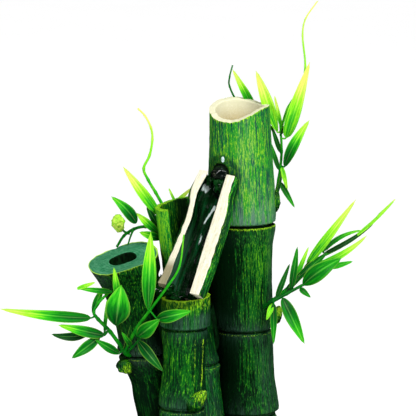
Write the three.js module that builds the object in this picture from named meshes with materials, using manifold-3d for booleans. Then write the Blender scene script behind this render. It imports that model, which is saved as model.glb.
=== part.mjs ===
// Tabletop water fountain: a cluster of cast bamboo stalks that lifts out of an oval water bowl.
// A small pump in the bowl pushes water up a hose inside the tall stalk. The water runs down an
// open bamboo trough into the cup stalk and drains through it, back into the bowl.
// Millimetres, +Z up. The origin is on the table, under the middle of the bowl; -Y is the front.

import * as THREE from 'three';
import { mergeVertices } from 'three/addons/utils/BufferGeometryUtils.js';
import Module from 'manifold-3d';

const wasm = await Module();
wasm.setup();

// ---------------------------------------------------------------- driving dimensions

const GAP = 0.3;                 // clearance left between pieces that touch
const STALK_SIDES = 16;

// Bowl: an oval tub, turned as a round one and then narrowed front to back.
const BOWL_NARROWING = 0.91;
const BOWL_RIM_RADIUS = 110;
const BOWL_FLOOR_RADIUS = 82;
const BOWL_HEIGHT = 48;
const FLOOR_TOP = 8;
const PAD_THICKNESS = 2;
const CABLE_HOLE = { radius: 4.5, height: 38 };

// Pedestal: a hollow rock that carries the stalks and hides the pump.
const PEDESTAL = {
  centre: [4, 3], halfLength: 62, halfWidth: 56, squareness: 2.8,
  bottom: FLOOR_TOP + GAP, top: 58, wall: 8, roof: 6,
};
const STALK_FOOT = PEDESTAL.top + GAP;

// Stalks: [height, radius] along a straight leaning axis from foot to head.
const TALL_AXIS = { foot: [26.6, 25, 58], head: [21.6, 25, 290] };
const TALL_BORE = 16.6;
const TALL_LOWER = {
  ...TALL_AXIS,
  profile: [
    [STALK_FOOT, 22.5], [70, 21.8], [72, 20.8], [74, 20.8], [76.5, 23.4], [86, 22.4], [100, 20.5],
    [121, 20.1], [130.5, 19.4], [131.7, 18.4], [133.3, 18.4], [134.5, 19.7], [147, 20.3],
    [171, 20.4], [192, 21.3], [203, 23.1], [205.4, 22.6],
  ],
};
const TALL_UPPER = {
  ...TALL_AXIS,
  profile: [[208.2, 22.2], [209.6, 23.4], [214, 23.5], [236, 22.8], [262, 21.5], [300, 20.5]],
};
const TALL_CUT = { point: [21.6, 25, 286.6], normal: [-0.15, -0.3, 1] };

const REAR = {
  foot: [-2.7, 3.5, 58], head: [-21.3, 8.5, 220],
  profile: [
    [STALK_FOOT, 15.5], [82, 15.9], [100, 15.5], [107, 16.2], [110.4, 17.2], [111.6, 15.4],
    [113, 15.4], [114.4, 16.8], [121, 15.5], [142, 14.8], [186, 14.8], [236, 15],
  ],
  bore: 11.5, node: 112,
};
const REAR_CUT = { point: [-21.3, 8.5, 222.6], normal: [-0.19, -0.1, 1] };
const REAR_NOTCH = { left: -5.8, back: 3, bottom: 178 };  // measured from the stalk's own axis

const CUP = {
  foot: [-18.2, -28, 58], head: [-14.8, -28.6, 166],
  profile: [
    [STALK_FOOT, 15.4], [86, 15.6], [88, 14.7], [89.8, 14.7], [91.6, 16.2], [96, 16.3], [104, 15.1],
    [117, 14.2], [129, 14.1], [140, 15.3], [142.6, 15.3], [143.4, 14.5], [144.4, 14.5],
    [146, 16.8], [158, 16.8], [164.4, 16.6], [166, 15.9],
  ],
  bore: 12.6, node: 122, drain: 6,
};

const LEFT = {
  foot: [-30.8, -3, 58], head: [-58.4, -3, 188],
  profile: [
    [STALK_FOOT, 13.7], [90, 13.6], [100, 13], [110, 14.9], [118.6, 17.2], [120, 15.4],
    [121.6, 15.4], [123.4, 17], [130, 14.9], [138, 14.5], [158, 17.2], [168, 19.2], [173, 21.2],
    [177, 23], [181, 24.7], [206, 25.4],
  ],
  bore: 10, node: 150, lowerBore: 9,
};
const LEFT_CUT = { point: [-58.4, -3, 186.6], normal: [-0.24, -0.21, 1] };

// Trough: a tapered bamboo pipe from the tall stalk's hose hole down to the cup, opened on top.
const TROUGH = {
  top: [8.4, 7.6, 241.3], bottom: [-18.3, -32.3, 170],
  topRadius: 14, bottomRadius: 16, wall: 5,
  openSide: [-0.296, -0.79, 0.536], openHeight: 6.3,
};

// Supply: the hose stands over the pump's nozzle and ends in an elbow that points into the trough.
const HOSE = { x: 18, y: 22, radius: 6, bore: 4.5, bottom: 44.3, top: 217 };
const ELBOW = { outlet: [7.6, 5.6, 241.6], direction: [-0.42, -0.62, -0.66], rise: 25, run: 13 };
const HOSE_SIDES = 10;

// Pump, measured from the middle of the rotor, whose axis runs along X.
const PUMP_CENTRE = [0, 22, 28];
const ROTOR_WELL = 9.4;
const CHAMBER_RADIUS = 11.2;
const VOLUTE_RADIUS = 13;
const SHAFT_RADIUS = 1;
const NOZZLE = { x: 18, radius: 4, bore: 2.4, top: 25 };
const PUMP_SIDES = 20;
const GLAND_DROP = -6;

// Leaf sprigs, moulded in thin plastic: [radius, points along it] for each stem, and root, tip,
// width, bow and turn for each leaf. A leaf faces the front; bow arches it towards there, and turn
// rolls it about its own length. Its stalk joins it to the nearest stem.
const LEAF_THICKNESS = 0.9;
const leaf = (root, tip, width, bow = 2, turn = 0) => ({ root, tip, width, bow, turn });
const SPRIGS = {
  sprig_right_top: {
    stems: [
      [1.3, [42, 31.5, 210], [46, 35, 218], [50, 38, 235], [51, 40, 254], [50, 40, 272]],
      [0.8, [50, 40, 272], [56, 42, 282], [64, 41, 298], [67, 38, 314], [65, 36, 334],
        [68, 35, 348], [76, 34, 358]],
      [0.9, [51, 40, 254], [45, 47, 268], [33, 49, 281], [21, 47, 288], [15, 46, 299], [17, 45, 313]],
    ],
    leaves: [
      leaf([50, 40, 271], [33, 37, 310], 8, 3), leaf([51, 40, 271], [47, 42, 293], 3, 1),
      leaf([30, 48, 286], [17, 45, 311], 6), leaf([55, 39, 266], [70, 36, 316], 11, 4),
      leaf([55, 42, 281], [64, 44, 300], 4, 1, 55), leaf([51, 40, 243], [70, 34, 276], 8, 3),
      leaf([51, 39, 244], [55, 36, 228], 4, 1), leaf([50, 38, 233], [60, 34, 217], 5),
      leaf([51, 40, 254], [45, 43, 272], 4, 1),
    ],
  },
  sprig_right_middle: {
    stems: [
      [1.3, [38, 11, 151], [43, 6, 155], [54, 4, 161], [66, 2, 168]],
      [1, [43, 6, 155], [59, 10, 168], [72, 14, 181], [91, 16, 191], [107, 16, 202],
        [118, 14, 215], [128, 12, 225]],
    ],
    leaves: [
      leaf([65, 2, 168], [91, -6, 187], 12, 4), leaf([83, 4, 178], [99, 6, 183], 4, 1),
      leaf([69, 12, 183], [101, 6, 225], 8, 4), leaf([88, 16, 190], [106, 12, 204], 4),
      leaf([72, 14, 180], [109, 12, 200], 5, -3), leaf([57, 4, 162], [61, 2, 194], 5),
      leaf([60, 10, 169], [69, 12, 191], 4), leaf([46, 6, 156], [56, 8, 179], 4, 1),
      leaf([64, 2, 167], [70, -2, 159], 4, 1), leaf([52, 4, 160], [66, -4, 128], 9, 3),
      leaf([44, 6, 155], [45, -1, 127], 5), leaf([43, 6, 155], [40, -2, 144], 4, 1),
    ],
  },
  sprig_left: {
    stems: [
      [1.3, [-53, -15, 123], [-57, -20, 126], [-66, -24, 140], [-74, -26, 149], [-77, -26, 154],
        [-74, -25, 160], [-66, -24, 167]],
      [1, [-57, -20, 126], [-48, -32, 144], [-39, -40, 158], [-27, -44, 175], [-19, -46, 189],
        [-16, -50, 211]],
    ],
    leaves: [
      leaf([-75, -26, 150], [-139, -30, 157], 8, 3), leaf([-70, -25, 145], [-100, -30, 145], 8, 3),
      leaf([-78, -21, 138], [-104, -20, 139], 6), leaf([-66, -24, 140], [-91, -30, 124], 8, 3),
      leaf([-59, -21, 129], [-74, -31, 133], 6), leaf([-67, -24, 167], [-88, -28, 172], 6, 3),
      leaf([-61, -33, 148], [-58, -38, 177], 17, 4), leaf([-40, -40, 161], [-38, -44, 210], 9.5, 4),
      leaf([-34, -44, 154], [-12, -52, 159], 8, 3), leaf([-46, -36, 141], [-33, -50, 153], 10, 3),
      leaf([-47, -31, 135], [-31, -47, 119], 7, 3), leaf([-77, -26, 155], [-72, -22, 171], 5, 1),
      leaf([-67, -24, 141], [-68, -22, 160], 3, 1),
    ],
  },
  sprig_rear_left: {
    stems: [
      [1.2, [-28, 14, 200], [-33, 19, 203], [-43, 20, 205], [-51, 21, 203], [-58, 22.5, 198],
        [-63, 24, 190]],
      [0.8, [-33, 19, 203], [-29, 22, 211], [-31, 20, 220], [-36, 18, 229], [-43, 16, 240],
        [-41, 15, 254], [-38, 16, 266], [-40, 17, 277], [-48, 18, 287]],
    ],
    leaves: [
      leaf([-34, 17, 215], [-57, 11, 247], 9, 3), leaf([-34, 19, 204], [-42, 14, 219], 5, 1),
      leaf([-49, 21, 204], [-66, 12, 227], 8, 3), leaf([-37, 18, 204], [-49, 11, 213], 5),
      leaf([-57, 23, 199], [-62, 24, 209], 8, 1), leaf([-24, 25, 220], [-26, 24, 230], 3, 1),
      leaf([-22, 26, 220], [-12, 26, 230], 4, 1), leaf([-52, 21, 203], [-55, 18, 194], 2.4, 1),
    ],
  },
};

// Pebbles: angle round the bowl, distance out along it, and half sizes.
const PEBBLES = [
  { angle: 4, reach: 79, half: [10, 8, 6] }, { angle: 27, reach: 80, half: [8, 10, 7] },
  { angle: 56, reach: 83, half: [6, 9, 5] }, { angle: 84, reach: 77, half: [9, 11, 6] },
  { angle: 118, reach: 78, half: [8, 9, 6] }, { angle: 148, reach: 79, half: [10, 9, 6] },
  { angle: 176, reach: 77, half: [11, 10, 7] }, { angle: 204, reach: 78, half: [8, 10, 6] },
  { angle: 230, reach: 79, half: [9, 8, 5] }, { angle: 258, reach: 75, half: [9, 12, 6] },
  { angle: 290, reach: 77, half: [8, 10, 6] }, { angle: 328, reach: 81, half: [8, 9, 6] },
];
const PEBBLE_LIFT = 1.6;         // they lean on the curve where the floor turns up

// ---------------------------------------------------------------- materials

function paint(color, roughness = 0.6, metalness = 0) {
  return new THREE.MeshStandardMaterial({ color, roughness, metalness });
}

const MATERIALS = {
  greyGreen: paint(0x87996f),
  deepGreen: paint(0x4f6f3f),
  blueGreen: paint(0x2f7356),
  wetGreen: paint(0x2c3d22, 0.2),
  rock: paint(0x6b6657, 0.9),
  bowl: paint(0x55683c),
  pad: paint(0x26282a, 0.95),
  black: paint(0x141416, 0.35),
  rubber: paint(0x1c1c1e, 0.8),
  ceramic: paint(0xe8e4da, 0.3),
  magnet: paint(0x3a3836, 0.6),
  steel: paint(0xa9adb0, 0.35, 0.9),
  copper: paint(0xb06a3b, 0.4, 0.9),
  leaf: paint(0x77a52c, 0.35),
};

// ---------------------------------------------------------------- solids

const Z_AXIS = new THREE.Vector3(0, 0, 1);

function vector(point) {
  return new THREE.Vector3(...point);
}

function signedVolume(corners, faces) {
  const [a, b, c] = [new THREE.Vector3(), new THREE.Vector3(), new THREE.Vector3()];
  let volume = 0;
  for (let i = 0; i < faces.length; i += 3) {
    a.fromArray(corners, 3 * faces[i]);
    b.fromArray(corners, 3 * faces[i + 1]);
    c.fromArray(corners, 3 * faces[i + 2]);
    volume += a.dot(b.cross(c)) / 6;
  }
  return volume;
}

// Turns any closed geometry into a solid whose faces point out.
function solid(geometry) {
  const bare = geometry.clone();
  bare.deleteAttribute('normal');
  bare.deleteAttribute('uv');
  const merged = mergeVertices(bare, 1e-4);
  const corners = merged.getAttribute('position').array;
  const faces = [];
  for (let i = 0; i < merged.index.count; i += 3) {
    const [a, b, c] = [0, 1, 2].map((step) => merged.index.getX(i + step));
    if (a !== b && b !== c && c !== a) faces.push(a, b, c);
  }
  if (signedVolume(corners, faces) < 0) faces.reverse();
  return new wasm.Manifold(new wasm.Mesh({
    numProp: 3,
    vertProperties: new Float32Array(corners),
    triVerts: new Uint32Array(faces),
  }));
}

function piece(name, body, material) {
  const { vertProperties, triVerts } = body.getMesh();
  const geometry = new THREE.BufferGeometry();
  geometry.setAttribute('position', new THREE.BufferAttribute(new Float32Array(vertProperties), 3));
  geometry.setIndex(new THREE.BufferAttribute(new Uint32Array(triVerts), 1));
  geometry.computeVertexNormals();
  const mesh = new THREE.Mesh(geometry, material);
  mesh.name = name;
  return mesh;
}

// A profile of [radius, height] pairs turned about Z. It starts and ends on the axis.
function turned(profile, sides) {
  const points = profile.map(([radius, height]) => new THREE.Vector2(radius, height));
  return new THREE.LatheGeometry(points, sides).rotateX(Math.PI / 2);
}

// A ring turned about Z, with a rectangular section.
function ring(inner, outer, bottom, top, sides) {
  const section = [[inner, bottom], [outer, bottom], [outer, top], [inner, top], [inner, bottom]];
  return turned(section, sides);
}

// A round rod along X, Y or Z, from one end to the other.
function rod(axis, radius, from, to, [x, y, z] = [0, 0, 0], sides = PUMP_SIDES) {
  const geometry = new THREE.CylinderGeometry(radius, radius, to - from, sides);
  if (axis === 'x') geometry.rotateZ(-Math.PI / 2).translate((from + to) / 2, y, z);
  if (axis === 'y') geometry.translate(x, (from + to) / 2, z);
  if (axis === 'z') geometry.rotateX(Math.PI / 2).translate(x, y, (from + to) / 2);
  return solid(geometry);
}

function block([x0, y0, z0], [x1, y1, z1]) {
  const geometry = new THREE.BoxGeometry(x1 - x0, y1 - y0, z1 - z0);
  return solid(geometry.translate((x0 + x1) / 2, (y0 + y1) / 2, (z0 + z1) / 2));
}

// Everything beyond a plane, out to a generous reach.
function beyond({ point, normal }, reach = 160) {
  const geometry = new THREE.BoxGeometry(reach, reach, reach).translate(0, 0, reach / 2);
  const tilt = new THREE.Quaternion().setFromUnitVectors(Z_AXIS, vector(normal).normalize());
  return solid(geometry.applyQuaternion(tilt).translate(...point));
}

// A closed skin over rings with equal numbers of points, fanned shut at both ends.
function skin(rings) {
  const sides = rings[0].length;
  const middle = (points) => points.reduce((sum, p) => sum.add(p), new THREE.Vector3())
    .divideScalar(points.length);
  const corners = [...rings.flat(), middle(rings[0]), middle(rings.at(-1))];
  const [startPole, endPole] = [corners.length - 2, corners.length - 1];
  const faces = [];
  for (let side = 0; side < sides; side += 1) {
    const next = (side + 1) % sides;
    faces.push(startPole, next, side);
    for (let r = 0; r < rings.length - 1; r += 1) {
      const [near, far] = [r * sides, (r + 1) * sides];
      faces.push(near + side, near + next, far + next, near + side, far + next, far + side);
    }
    const last = (rings.length - 1) * sides;
    faces.push(endPole, last + side, last + next);
  }
  const geometry = new THREE.BufferGeometry().setFromPoints(corners);
  geometry.setIndex(faces);
  return solid(geometry);
}

// A round tube along a curve, tapering from one radius to the other.
function tube(curve, startRadius, endRadius, sides, steps) {
  const frames = curve.computeFrenetFrames(steps);
  const rings = [];
  for (let step = 0; step <= steps; step += 1) {
    const centre = curve.getPointAt(step / steps);
    const radius = THREE.MathUtils.lerp(startRadius, endRadius, step / steps);
    rings.push(Array.from({ length: sides }, (_, side) => {
      const angle = (2 * Math.PI * side) / sides;
      return centre.clone()
        .addScaledVector(frames.normals[step], radius * Math.cos(angle))
        .addScaledVector(frames.binormals[step], radius * Math.sin(angle));
    }));
  }
  return skin(rings);
}

// ---------------------------------------------------------------- stalks

function axisPoint({ foot, head }, height) {
  const share = (height - foot[2]) / (head[2] - foot[2]);
  return [
    THREE.MathUtils.lerp(foot[0], head[0], share),
    THREE.MathUtils.lerp(foot[1], head[1], share),
    height,
  ];
}

// Slides each level of an upright geometry sideways, so that it follows a leaning axis.
function lean(geometry, axis) {
  const position = geometry.getAttribute('position');
  for (let i = 0; i < position.count; i += 1) {
    const [x, y] = axisPoint(axis, position.getZ(i));
    position.setXY(i, position.getX(i) + x, position.getY(i) + y);
  }
  return geometry;
}

function stalkOutside(stalk, grow = 0) {
  const outline = stalk.profile.map(([height, radius]) => [radius + grow, height]);
  const profile = [[0, outline[0][1]], ...outline, [0, outline.at(-1)[1]]];
  return solid(lean(turned(profile, STALK_SIDES), stalk));
}

function stalkBore(stalk, radius, from, to) {
  const profile = [[0, from], [radius, from], [radius, to], [0, to]];
  return solid(lean(turned(profile, STALK_SIDES), stalk));
}

// The small round bud of a cut side shoot, half sunk in the stalk.
function bud(stalk, height, bearing, radius, [across, along]) {
  const [x, y] = axisPoint(stalk, height);
  const angle = THREE.MathUtils.degToRad(bearing);
  const geometry = new THREE.SphereGeometry(1, 8, 6).rotateX(Math.PI / 2);
  geometry.scale(across * 0.6, across, along).rotateZ(angle);
  geometry.translate(x + radius * Math.cos(angle), y + radius * Math.sin(angle), height);
  return solid(geometry);
}

// ---------------------------------------------------------------- trough and supply

const troughLine = new THREE.LineCurve3(vector(TROUGH.top), vector(TROUGH.bottom));

function troughPipe(grow) {
  return tube(troughLine, TROUGH.topRadius + grow, TROUGH.bottomRadius + grow, 24, 1);
}

function troughInside() {
  const direction = troughLine.getTangent(0);
  const start = vector(TROUGH.top).addScaledVector(direction, -2);
  const end = vector(TROUGH.bottom).addScaledVector(direction, 2);
  const line = new THREE.LineCurve3(start, end);
  return tube(line, TROUGH.topRadius - TROUGH.wall, TROUGH.bottomRadius - TROUGH.wall, 24, 1);
}

function troughSpout() {
  const opening = vector(TROUGH.openSide).normalize();
  const point = vector(TROUGH.top).addScaledVector(opening, TROUGH.openHeight).toArray();
  return troughPipe(0)
    .subtract(troughInside())
    .subtract(beyond({ point, normal: opening.toArray() }))
    .subtract(stalkOutside(TALL_UPPER, GAP))
    .subtract(stalkOutside(TALL_LOWER, GAP))
    .subtract(hoseHole());
}

function elbowCurve(extra = 0) {
  const end = vector(ELBOW.outlet);
  const outward = vector(ELBOW.direction).normalize();
  return new THREE.CubicBezierCurve3(
    new THREE.Vector3(HOSE.x, HOSE.y, HOSE.top + GAP - extra),
    new THREE.Vector3(HOSE.x, HOSE.y, HOSE.top + ELBOW.rise),
    end.clone().addScaledVector(outward, -ELBOW.run),
    end.clone().addScaledVector(outward, extra),
  );
}

// The room that the elbow needs through the tall stalk's wall, with a straight way out.
function hoseHole() {
  const outlet = vector(ELBOW.outlet);
  const outside = outlet.clone().addScaledVector(vector(ELBOW.direction).normalize(), 8);
  const radius = HOSE.radius + 0.6;
  return tube(elbowCurve(), radius, radius, 14, 6)
    .add(tube(new THREE.LineCurve3(outlet, outside), radius, radius, 14, 1));
}

function outletElbow() {
  return tube(elbowCurve(), HOSE.radius, HOSE.radius, HOSE_SIDES, 6)
    .subtract(tube(elbowCurve(1), HOSE.bore, HOSE.bore, HOSE_SIDES, 6));
}

function supplyHose() {
  const place = [HOSE.x, HOSE.y, 0];
  return rod('z', HOSE.radius, HOSE.bottom, HOSE.top, place, HOSE_SIDES)
    .subtract(rod('z', HOSE.bore, HOSE.bottom - 1, HOSE.top + 1, place, HOSE_SIDES));
}

// ---------------------------------------------------------------- leaf sprigs

// A leaf's midrib, as a function from root (0) to tip (1), with the directions across and out.
function midrib({ root, tip, bow, turn }) {
  const [start, end] = [vector(root), vector(tip)];
  const along = end.clone().sub(start).normalize();
  const face = new THREE.Vector3(0, -1, 0.15).projectOnPlane(along).normalize();
  face.applyAxisAngle(along, THREE.MathUtils.degToRad(turn));
  const across = along.clone().cross(face);
  const at = (t) => start.clone().lerp(end, t).addScaledVector(face, 4 * bow * t * (1 - t));
  return { at, across, face };
}

// A leaf blade: a lens section that widens to its middle and runs out to a point.
function leafBlade(design) {
  const { at, across, face } = midrib(design);
  const stations = [0, 0.25, 0.65, 1];
  return skin(stations.map((t) => {
    const half = 0.3 + (design.width / 2 - 0.3) * Math.sin(Math.PI * t ** 0.8) ** 0.8;
    const thick = 0.25 + (LEAF_THICKNESS / 2 - 0.25) * Math.sin(Math.PI * t);
    return [[half, 0], [0, thick], [-half, 0], [0, -thick]].map(([side, rise]) => at(t)
      .addScaledVector(across, side)
      .addScaledVector(face, rise));
  }));
}

// The point on any stem that lies closest to a leaf's root.
function nearestOnStems(curves, root) {
  const target = vector(root);
  return curves
    .flatMap((curve) => curve.getSpacedPoints(60))
    .reduce((best, point) => (point.distanceTo(target) < best.distanceTo(target) ? point : best));
}

function leafStalk(curves, design) {
  const line = new THREE.LineCurve3(nearestOnStems(curves, design.root), midrib(design).at(0.2));
  return tube(line, 0.7, 0.6, 3, 1);
}

function sprig({ stems, leaves }) {
  const curves = stems.map(([, ...points]) => new THREE.CatmullRomCurve3(points.map(vector)));
  const parts = stems.map(([radius, ...points], index) => (
    tube(curves[index], radius, radius * 0.6, 4, Math.round(1.7 * points.length))));
  for (const blade of leaves) {
    parts.push(leafBlade(blade), leafStalk(curves, blade));
  }
  let body = parts.reduce((sum, part) => sum.add(part));
  for (const stalk of [TALL_LOWER, TALL_UPPER, REAR, CUP, LEFT]) {
    body = body.subtract(stalkOutside(stalk, GAP));
  }
  return body;
}

// ---------------------------------------------------------------- cluster

function tallStalkLower() {
  const spigot = stalkBore(TALL_AXIS, 20.4, 200, 207.9);
  return stalkOutside(TALL_LOWER)
    .add(spigot)
    .add(bud(TALL_LOWER, 142, 8, 20.1, [4, 6.5]))
    .subtract(stalkBore(TALL_AXIS, TALL_BORE, 50, 215));
}

function tallStalkUpper() {
  return stalkOutside(TALL_UPPER)
    .add(bud(TALL_UPPER, 222.5, 10, 23.1, [3, 7]))
    .subtract(stalkBore(TALL_AXIS, TALL_BORE, 200, 310))
    .subtract(beyond(TALL_CUT))
    .subtract(hoseHole());
}

function rearStalk() {
  const size = 50;
  const notch = new THREE.BoxGeometry(size, size, size);
  notch.translate(
    REAR_NOTCH.left + size / 2,
    REAR_NOTCH.back - size / 2,
    REAR_NOTCH.bottom + size / 2,
  );
  return stalkOutside(REAR)
    .subtract(stalkBore(REAR, REAR.bore, REAR.node + 4, 250))
    .subtract(stalkBore(REAR, REAR.bore, 50, REAR.node - 4))
    .subtract(beyond(REAR_CUT))
    .subtract(solid(lean(notch, REAR)))
    .subtract(troughPipe(GAP + 0.1))
    .subtract(stalkOutside(TALL_LOWER, GAP))
    .subtract(stalkOutside(TALL_UPPER, GAP));
}

function cupStalk() {
  return stalkOutside(CUP)
    .add(bud(CUP, 96, -48, 15.8, [6, 6]))
    .subtract(stalkBore(CUP, CUP.bore, CUP.node, 180))
    .subtract(stalkBore(CUP, CUP.drain, 50, CUP.node + 2))
    .subtract(troughPipe(GAP + 0.1));
}

function leftStalk() {
  return stalkOutside(LEFT)
    .add(bud(LEFT, 116, -130, 16.2, [5, 5]))
    .subtract(stalkBore(LEFT, LEFT.bore, LEFT.node, 220))
    .subtract(stalkBore(LEFT, LEFT.lowerBore, 50, LEFT.node - 35))
    .subtract(beyond(LEFT_CUT))
    .subtract(stalkOutside(CUP, GAP))
    .subtract(stalkOutside(REAR, GAP));
}

// A rounded-square outline, as a superellipse.
function pedestalOutline(halfLength, halfWidth) {
  const shape = new THREE.Shape();
  const steps = 32;
  const round = (value) => Math.sign(value) * Math.abs(value) ** (2 / PEDESTAL.squareness);
  for (let step = 0; step < steps; step += 1) {
    const angle = (2 * Math.PI * step) / steps;
    const x = halfLength * round(Math.cos(angle));
    const y = halfWidth * round(Math.sin(angle));
    if (step === 0) shape.moveTo(x, y);
    else shape.lineTo(x, y);
  }
  return shape;
}

function pedestalPrism(inset, bottom, top) {
  const { centre, halfLength, halfWidth } = PEDESTAL;
  const outline = pedestalOutline(halfLength - inset, halfWidth - inset);
  const geometry = new THREE.ExtrudeGeometry(outline, { depth: top - bottom, bevelEnabled: false });
  return solid(geometry.translate(centre[0], centre[1], bottom));
}

function pedestal() {
  const { centre, bottom, top, wall, roof } = PEDESTAL;
  const roofBottom = top - roof;
  const archTop = 26;
  const cupFoot = axisPoint(CUP, top);
  let body = pedestalPrism(0, bottom, top - 5)
    .add(pedestalPrism(3, top - 6, top))
    .subtract(pedestalPrism(wall, bottom - 1, roofBottom))
    .subtract(rod('z', HOSE.radius + 0.6, roofBottom - 1, top + 1, [HOSE.x, HOSE.y, 0], 16))
    .subtract(rod('z', CUP.drain + 0.5, roofBottom - 1, top + 1, [cupFoot[0], cupFoot[1], 0], 16));
  for (const [x, reach] of [[centre[0] - 20, -90], [centre[0] + 26, -90], [centre[0], 90]]) {
    const [y0, y1] = [Math.min(centre[1], reach), Math.max(centre[1], reach)];
    body = body.subtract(block([x - 10, y0, 0], [x + 10, y1, archTop]));
  }
  return body;
}

// ---------------------------------------------------------------- bowl

function oval(geometry) {
  return geometry.scale(1, BOWL_NARROWING, 1);
}

function bowl() {
  const under = PAD_THICKNESS + GAP;
  const sides = 32;
  const outside = [
    [0, under], [84, under], [95, 9], [104, 20], [107, 24.5], [105, 26], [107.5, 28], [109.5, 36],
    [BOWL_RIM_RADIUS, BOWL_HEIGHT - 1.5], [BOWL_RIM_RADIUS - 1.5, BOWL_HEIGHT],
    [BOWL_RIM_RADIUS - 5, BOWL_HEIGHT], [BOWL_RIM_RADIUS - 6, BOWL_HEIGHT - 2],
    [103, 34], [98, 20], [91, 12], [BOWL_FLOOR_RADIUS, FLOOR_TOP], [0, FLOOR_TOP],
  ];
  const rear = BOWL_RIM_RADIUS * BOWL_NARROWING;
  const hole = rod('y', CABLE_HOLE.radius, rear - 20, rear + 5, [0, 0, CABLE_HOLE.height], 16);
  return solid(oval(turned(outside, sides))).subtract(hole);
}

function basePad() {
  return solid(oval(turned([[0, 0], [80, 0], [80, PAD_THICKNESS], [0, PAD_THICKNESS]], 40)));
}

// The grommet lines the cable hole, with a lip on each side of the wall.
function cableGrommet() {
  const rear = BOWL_RIM_RADIUS * BOWL_NARROWING;
  const reach = CABLE_HOLE.radius - GAP;
  const profile = [
    [2.2, -6], [7, -6], [7, -4.7], [reach, -4.7], [reach, 4.4], [7, 4.4], [7, 5.7], [2.2, 5.7],
    [2.2, -6],
  ];
  const geometry = turned(profile, 16).rotateX(-Math.PI / 2);
  return solid(geometry.translate(0, rear - 3.4, CABLE_HOLE.height));
}

function pebble({ angle, reach, half }) {
  const [deep, wide, high] = half;
  const turn = THREE.MathUtils.degToRad(angle);
  const geometry = new THREE.IcosahedronGeometry(1, 1).scale(deep, wide, high);
  geometry.rotateZ(turn);
  geometry.translate(
    reach * Math.cos(turn),
    reach * BOWL_NARROWING * Math.sin(turn),
    FLOOR_TOP + high + PEBBLE_LIFT,
  );
  return solid(geometry);
}

// ---------------------------------------------------------------- pump

function pumpHousing() {
  return block([-34, -14, -14], [8, 14, 14])
    .add(rod('x', VOLUTE_RADIUS, 6, 23, [0, 0, 0]))
    .add(rod('z', NOZZLE.radius, 8, NOZZLE.top, [NOZZLE.x, 0, 0], 16))
    .subtract(rod('x', ROTOR_WELL, -18, 12))
    .subtract(rod('x', CHAMBER_RADIUS, 11, 30))
    .subtract(rod('x', 3.2, -21, -17, [0, 0, 0], 12))
    .subtract(rod('z', NOZZLE.bore, 5, NOZZLE.top + 1, [NOZZLE.x, 0, 0], 12))
    .subtract(block([-35, -12, -12], [-22.5, 12, 12]));
}

function voluteSeal() {
  return solid(ring(CHAMBER_RADIUS + 0.2, VOLUTE_RADIUS - 0.2, 23.3, 24.1, PUMP_SIDES)
    .rotateY(Math.PI / 2));
}

function voluteCover() {
  let body = rod('x', VOLUTE_RADIUS, 24.4, 26.4);
  for (let hole = 0; hole < 6; hole += 1) {
    const angle = (Math.PI * hole) / 3;
    const place = [0, 5.8 * Math.cos(angle), 5.8 * Math.sin(angle)];
    body = body.subtract(rod('x', 1.9, 24, 27, place, 8));
  }
  return body
    .add(rod('x', 3.6, 25, 28.6, [0, 0, 0], 12))
    .subtract(rod('x', 2.6, 24, 27.4, [0, 0, 0], 12));
}

function bush(from, to, radius) {
  return solid(ring(SHAFT_RADIUS + 0.05, radius, from, to, 16).rotateY(Math.PI / 2));
}

function rotorMagnet() {
  return solid(ring(SHAFT_RADIUS + 0.3, 8.7, -15.5, 10.6, PUMP_SIDES).rotateY(Math.PI / 2));
}

function impeller() {
  let body = solid(turned([[0, 11.7], [10.2, 11.7], [10.2, 13], [4, 13], [3.2, 21.6], [0, 21.6]], 24)
    .rotateY(Math.PI / 2));
  const blade = solid(new THREE.BoxGeometry(8.4, 1.2, 8).translate(16.6, 0, 6));
  for (let step = 0; step < 6; step += 1) {
    body = body.add(blade.rotate([60 * step, 0, 0]));
  }
  return body.subtract(rod('x', SHAFT_RADIUS + 0.3, 10, 23, [0, 0, 0], 12));
}

function statorCore() {
  return block([-32, -11.4, -11.4], [-24, 11.4, 11.4])
    .subtract(block([-33, -6, -6], [-23, 6, 12]));
}

function statorCoil() {
  return block([-32.6, -4.8, -11.6], [-23.4, 4.8, -5.2])
    .subtract(block([-32.3, -6, -11.7], [-23.7, 6, -5.7]));
}

function motorLid() {
  return block([-36.2, -14, -14], [-34.3, 14, 14])
    .subtract(rod('x', 1.9, -37, -33, [0, 0, GLAND_DROP], 12));
}

function cableGland() {
  return solid(turned([[0, 0], [5, 0], [5, 2.5], [2.8, 10], [0, 10]], 16)
    .rotateY(-Math.PI / 2)
    .translate(-36.5, 0, GLAND_DROP));
}

function pumpFoot(x, y) {
  const top = -14.3;
  const bottom = FLOOR_TOP + GAP - PUMP_CENTRE[2];
  const profile = [[0, bottom], [4, bottom], [2.4, bottom + 2.6], [2.4, top], [0, top]];
  return solid(turned(profile, 16).translate(x, y, 0));
}

const COVER = { radius: 15.4, wall: 1.6, back: 14, face: 34 };

function intakeGrille() {
  const slotHalf = HOSE.radius + 1;
  let body = rod('x', COVER.radius, COVER.back, COVER.face)
    .subtract(rod('x', COVER.radius - COVER.wall, COVER.back - 1, COVER.face - 2))
    .subtract(block([COVER.back - 1, -slotHalf, 5], [HOSE.x + slotHalf + 0.4, slotHalf, 20]));
  for (const z of [-9, -5, 5, 9]) {
    body = body.subtract(block([COVER.face - 3, -8, z - 1], [COVER.face + 1, 8, z + 1]));
  }
  return body.add(rod('x', 1.5, COVER.face - 1, COVER.face + 2.2, [0, 0, 0], 12));
}

function flowRegulator() {
  const [back, front] = [COVER.face + GAP, COVER.face + 1.9];
  return rod('x', 6.4, back, front, [0, 0, 0], 20)
    .add(block([back, -1.6, 0], [front, 1.6, 12.4]))
    .subtract(rod('x', 1.8, back - 1, front + 1, [0, 0, 0], 12));
}

// ---------------------------------------------------------------- assembly

const fountain = new THREE.Group();

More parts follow.
